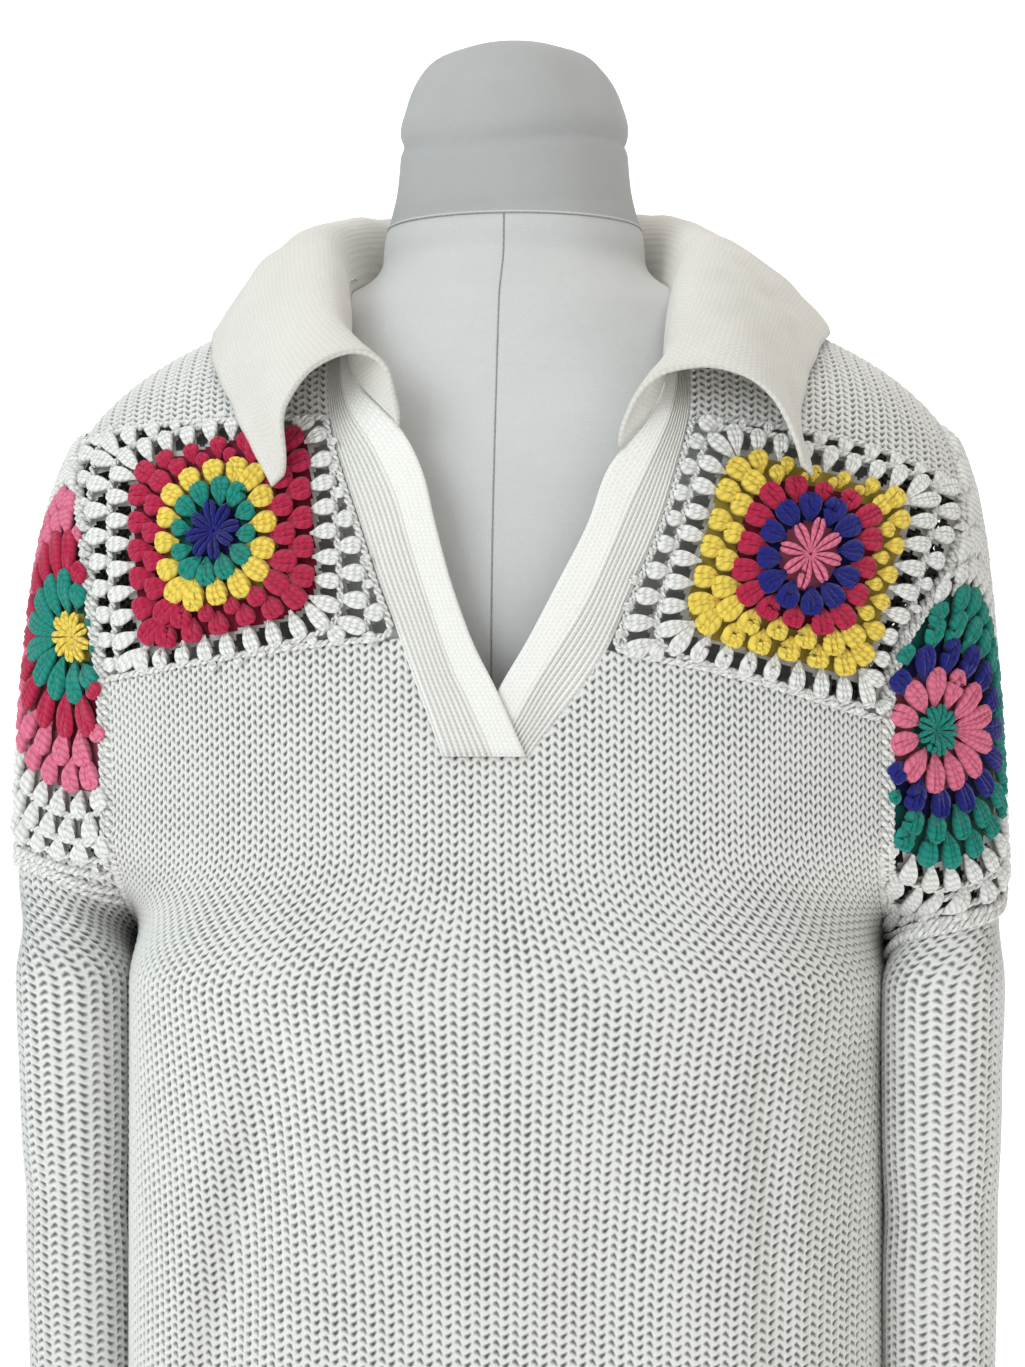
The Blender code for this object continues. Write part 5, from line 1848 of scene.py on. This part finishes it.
def armhole_cord(side):
    """The seam between the body and a sleeve, from the shoulder ridge to the underarm."""
    direction = SIDES[side]
    reach = float(turn_at(direction * armhole_width(CHEST_LEVEL), CHEST_LEVEL))
    lines = []
    for face in ("front", "back"):
        upper = [
            cloth(direction * (abs(float(ARMHOLE_EDGES[side](turn))) + ARMHOLE_OUT), turn, face)
            for turn in np.linspace(0.0, reach, 40)
        ]
        heights = np.linspace(CHEST_LEVEL, UNDERARM_LEVEL, 12)[1:]
        low = [body_row(np.array([direction * 1.0]), height, face)[0] for height in heights]
        line = np.array(upper + low)
        line[:, 1] += ARMHOLE_BACK if face == "front" else -ARMHOLE_BACK
        lines.append(line)
    return cord(f"seam_armhole_{side}", lines, "armhole")


def sleeve_cords(side):
    """The double seam under a sleeve's square, and the seam over the sleeve's upper end."""
    place = on_sleeve(side)
    shares = np.linspace(0.004, SQUARE_SHARE - 0.004, 90)
    seam = np.array([square_seam(side, share) for share in shares])
    drop = mix(UNDERARM_DROP[side], SEAM_DROP, ease(shares, 0.0, 0.15))
    lines = []
    for below in (0.0025, drop, drop * 0.62 + 0.001):
        lines.append(place(shares * SLEEVE_OUTLINE, seam - below, np.full(len(shares), 0.0012)))
    under = cord(f"seam_square_{side}", lines, "square")
    shares = np.linspace(0.0, 1.0, 60)
    top = sleeve_at(side, shares, np.full(60, SLEEVE_TOP))
    over = cord(f"seam_shoulder_{side}", [top], "shoulder")
    return [under, over]


# The dress form

# Its cover: the neck seam, the fold round the neck, a lower one in front, and the gathers
NECK_SEAM = 0.7630
NECK_FOLD = 0.8045
LOW_FOLD = 0.772
GATHERS = 0.0014
FORM_COLUMNS = 100
FORM_TOP = 0.859


def form_cover():
    heights = np.concatenate([np.linspace(0.0, 0.70, 50)[:-1], np.linspace(0.70, FORM_TOP, 80)])
    grid = np.array([form_ring(float(height), FORM_COLUMNS) for height in heights])
    outward = grid.copy()
    outward[..., 2] = 0.0
    outward = unit(outward)
    height = grid[..., 2]
    turned = 2.0 * math.pi * np.arange(FORM_COLUMNS)[None, :] / FORM_COLUMNS
    front = np.clip(-np.sin(turned), 0.0, 1.0)
    fold_line = NECK_FOLD + 0.0035 * np.cos(2.0 * turned + 0.6)
    fold = -0.0018 * np.exp(-(((height - fold_line) / 0.0032) ** 2))
    fold = fold + 0.0015 * np.exp(-(((height - fold_line - 0.010) / 0.008) ** 2))
    low_line = LOW_FOLD + 0.006 * np.sin(turned + 0.8)
    fold = fold - 0.0007 * front * np.exp(-(((height - low_line) / 0.004) ** 2))
    crown = ease(height, 0.812, 0.835) * (1.0 - ease(height, 0.850, 0.858))
    fold = fold + crown * GATHERS * np.sin(7.0 * turned + 3.0 * np.sin(2.0 * turned))
    grid = grid + outward * fold[..., None]
    points = grid.reshape(-1, 3)
    faces = grid_faces(len(heights), FORM_COLUMNS, wrap=True)
    top = len(points)
    points = np.vstack([points, [[0.0, 0.002, FORM_TOP + 0.0002]], [[0.0, 0.0, 0.0]]])
    last = (len(heights) - 1) * FORM_COLUMNS
    caps = []
    for step in range(0, FORM_COLUMNS, 2):
        ring = [(step + shift) % FORM_COLUMNS for shift in (0, 1, 2)]
        caps.append([last + ring[0], last + ring[1], last + ring[2], top])
        caps.append([ring[2], ring[1], ring[0], top + 1])
    faces = np.vstack([faces, caps])
    around = np.linalg.norm(grid[40, 0] - grid[40, 1]) * np.arange(FORM_COLUMNS)
    uv = np.stack(np.broadcast_arrays(around[None, :], height), -1).reshape(-1, 2)
    uv = np.vstack([uv, [[0.0, 0.86]], [[0.0, 0.0]]])
    slots = points[faces[:, 0], 2] > NECK_SEAM
    return new_piece("form_cover", points, faces, ["jersey", "jersey_neck"], uv=uv, slots=slots)


def form_seams():
    """The cover's seams: round the base of the neck, and down the middle of the front."""
    ring = np.array(form_ring(NECK_SEAM, 180))
    ring = np.vstack([ring, ring[:1]])
    heights = np.linspace(0.50, NECK_SEAM, 90)
    line = np.array([form_ring(float(height), 160)[120] for height in heights])
    strands = [ring, line]
    radii = [np.full(len(strand), 0.00045) for strand in strands]
    return strand_set("form_seams", strands, radii, "seam")


FLATS = {
    # piece: flat width and length, and the flat area
    "front": ((0.54, 0.46), 0.231),
    "back": ((0.54, 0.66), 0.330),
    "yoke": ((0.165, 0.125), 0.0185),
    "front_square": ((0.165, 0.140), 0.0185),
    "band": ((0.040, 0.250), 0.0078),
    "sleeve": ((0.30, 0.56), 0.124),
    "sleeve_square": ((0.170, 0.250), 0.0290),
    "cuff": ((0.310, 0.046), 0.0141),
    "hem": ((1.200, 0.036), 0.0432),
    "collar": ((0.720, 0.130), 0.0780),
}


def cloth_piece(piece, node, slot, flat, area, extra=()):
    """A sheet of cloth that takes the place of one node, with what is sewn on it."""
    for each in (piece, *extra):
        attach(each, "root")
    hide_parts(node)
    list(extra)


def build():
    cover = form_cover()
    seams = form_seams()
    for piece in (cover, seams):
        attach(piece, "root")
    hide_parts("dress_form")

    front = body_sheet("knit_front", "front", fine_front_tops(), 4, 4)
    seams = [armhole_cord(side) for side in SIDES]
    cloth_piece(front, "front_panel", "cream_knit", *FLATS["front"], extra=seams)
    back = body_sheet("knit_back", "back", fine_back_tops(), 2, 3)
    cloth_piece(back, "back_panel", "cream_knit", *FLATS["back"])
    for side in SIDES:
        cloth_piece(yoke_sheet(side), f"yoke_{side}", "cream_knit", *FLATS["yoke"])
        ground, yarn = front_square(side)
        node = f"front_square_{side}"
        cloth_piece(ground, node, "crochet_yarn", *FLATS["front_square"], extra=yarn)
        cloth_piece(band_sheet(side), f"neck_band_{side}", "cream_fine_knit", *FLATS["band"])
        sleeve = sleeve_sheet(side)
        seams = sleeve_cords(side)
        cloth_piece(sleeve, f"sleeve_{side}", "cream_knit", *FLATS["sleeve"], extra=seams)
        ground, yarn = sleeve_square(side)
        node = f"sleeve_square_{side}"
        cloth_piece(ground, node, "crochet_yarn", *FLATS["sleeve_square"], extra=yarn)
        heights = np.linspace(CUFF_HEIGHT, CUFF_RIB_TOP - SEAM_INSET, 12)
        cuff = ribbed_rows(cuff_reader(side), heights, CUFF_RIBS, f"rib_cuff_{side}", SIDES[side] > 0)
        cloth_piece(cuff, f"cuff_{side}", "cream_fine_knit", *FLATS["cuff"])
    heights = np.linspace(HEM_HEIGHT, HEM_RIB_TOP - SEAM_INSET, 10)
    hem = ribbed_rows(hem_ring, heights, HEM_RIBS, "rib_hem", False)
    cloth_piece(hem, "hem_rib", "cream_fine_knit", *FLATS["hem"])
    cloth_piece(collar_sheet(), "collar", "cream_fine_knit", *FLATS["collar"])


build()


# Camera, light and stage

def plain_material(name, colour):
    made = bpy.data.materials.new(name)
    made.use_nodes = True
    shader = made.node_tree.nodes["Principled BSDF"]
    shader.inputs["Base Color"].default_value = (*colour, 1.0)
    shader.inputs["Roughness"].default_value = 1.0
    shader.inputs["Specular IOR Level"].default_value = 0.0
    shader.inputs["Emission Color"].default_value = (*colour, 1.0)
    shader.inputs["Emission Strength"].default_value = 0.45
    return made


def plane(name, corners, colour):
    data = bpy.data.meshes.new(name)
    data.from_pydata(corners, [], [(0, 1, 2, 3)])
    data.materials.append(plain_material(name, colour))
    piece = bpy.data.objects.new(name, data)
    bpy.context.scene.collection.objects.link(piece)


def add_light(name, place, target, size, power, colour):
    data = bpy.data.lights.new(name, "AREA")
    data.size = size
    data.energy = power
    data.color = colour
    light = bpy.data.objects.new(name, data)
    light.location = place
    away = Vector(place) - Vector(target)
    light.rotation_euler = away.to_track_quat("Z", "Y").to_euler()
    bpy.context.scene.collection.objects.link(light)


# The floor reaches this far to the sides and the front, and the backdrop stands behind it
REACH = 9.0
BACKDROP_Y = 4.6
BACKDROP_TOP = 8.0
PALE = (0.93, 0.93, 0.93)
FLOOR = [(-REACH, -REACH, 0), (REACH, -REACH, 0), (REACH, BACKDROP_Y, 0), (-REACH, BACKDROP_Y, 0)]
plane("floor", FLOOR, PALE)
rise = [(x, BACKDROP_Y, BACKDROP_TOP) for x in (REACH, -REACH)]
plane("backdrop", [FLOOR[3], FLOOR[2], *rise], PALE)

LIGHTS = (
    # name, place, target, size, power, colour
    ("key", (-0.95, -1.25, 1.30), (0, 0, 0.50), 0.9, 13.5, (0.86, 0.965, 1.0)),
    ("fill", (1.6, -1.8, 0.9), (0, 0, 0.50), 1.8, 3.0, (1.0, 0.92, 0.82)),
    ("top", (0.2, -0.3, 2.4), (0, 0, 0.6), 1.2, 12.0, (1.0, 0.96, 0.89)),
    ("wash", (0.0, 2.4, 3.6), (0, BACKDROP_Y, 1.0), 3.0, 45.0, (1.0, 1.0, 1.0)),
)
for light in LIGHTS:
    add_light(*light)

world = bpy.data.worlds.new("studio")
world.use_nodes = True
world.node_tree.nodes["Background"].inputs[0].default_value = (1.0, 1.0, 1.0, 1.0)
world.node_tree.nodes["Background"].inputs[1].default_value = 0.40
bpy.context.scene.world = world
bpy.context.scene.view_settings.view_transform = "Standard"

CAMERA_TURN = math.radians(5.0)
CAMERA_DISTANCE = 1.5
CAMERA_HEIGHT = 0.524
CAMERA_ANGLE = math.radians(26.9)
camera_data = bpy.data.cameras.new("camera")
camera_data.angle = CAMERA_ANGLE
camera_data.clip_end = 50.0
camera = bpy.data.objects.new("camera", camera_data)
camera.location = (
    CAMERA_DISTANCE * math.sin(CAMERA_TURN),
    -CAMERA_DISTANCE * math.cos(CAMERA_TURN),
    CAMERA_HEIGHT,
)
camera.rotation_euler = (math.pi / 2.0, 0.0, CAMERA_TURN)
bpy.context.scene.collection.objects.link(camera)
bpy.context.scene.camera = camera
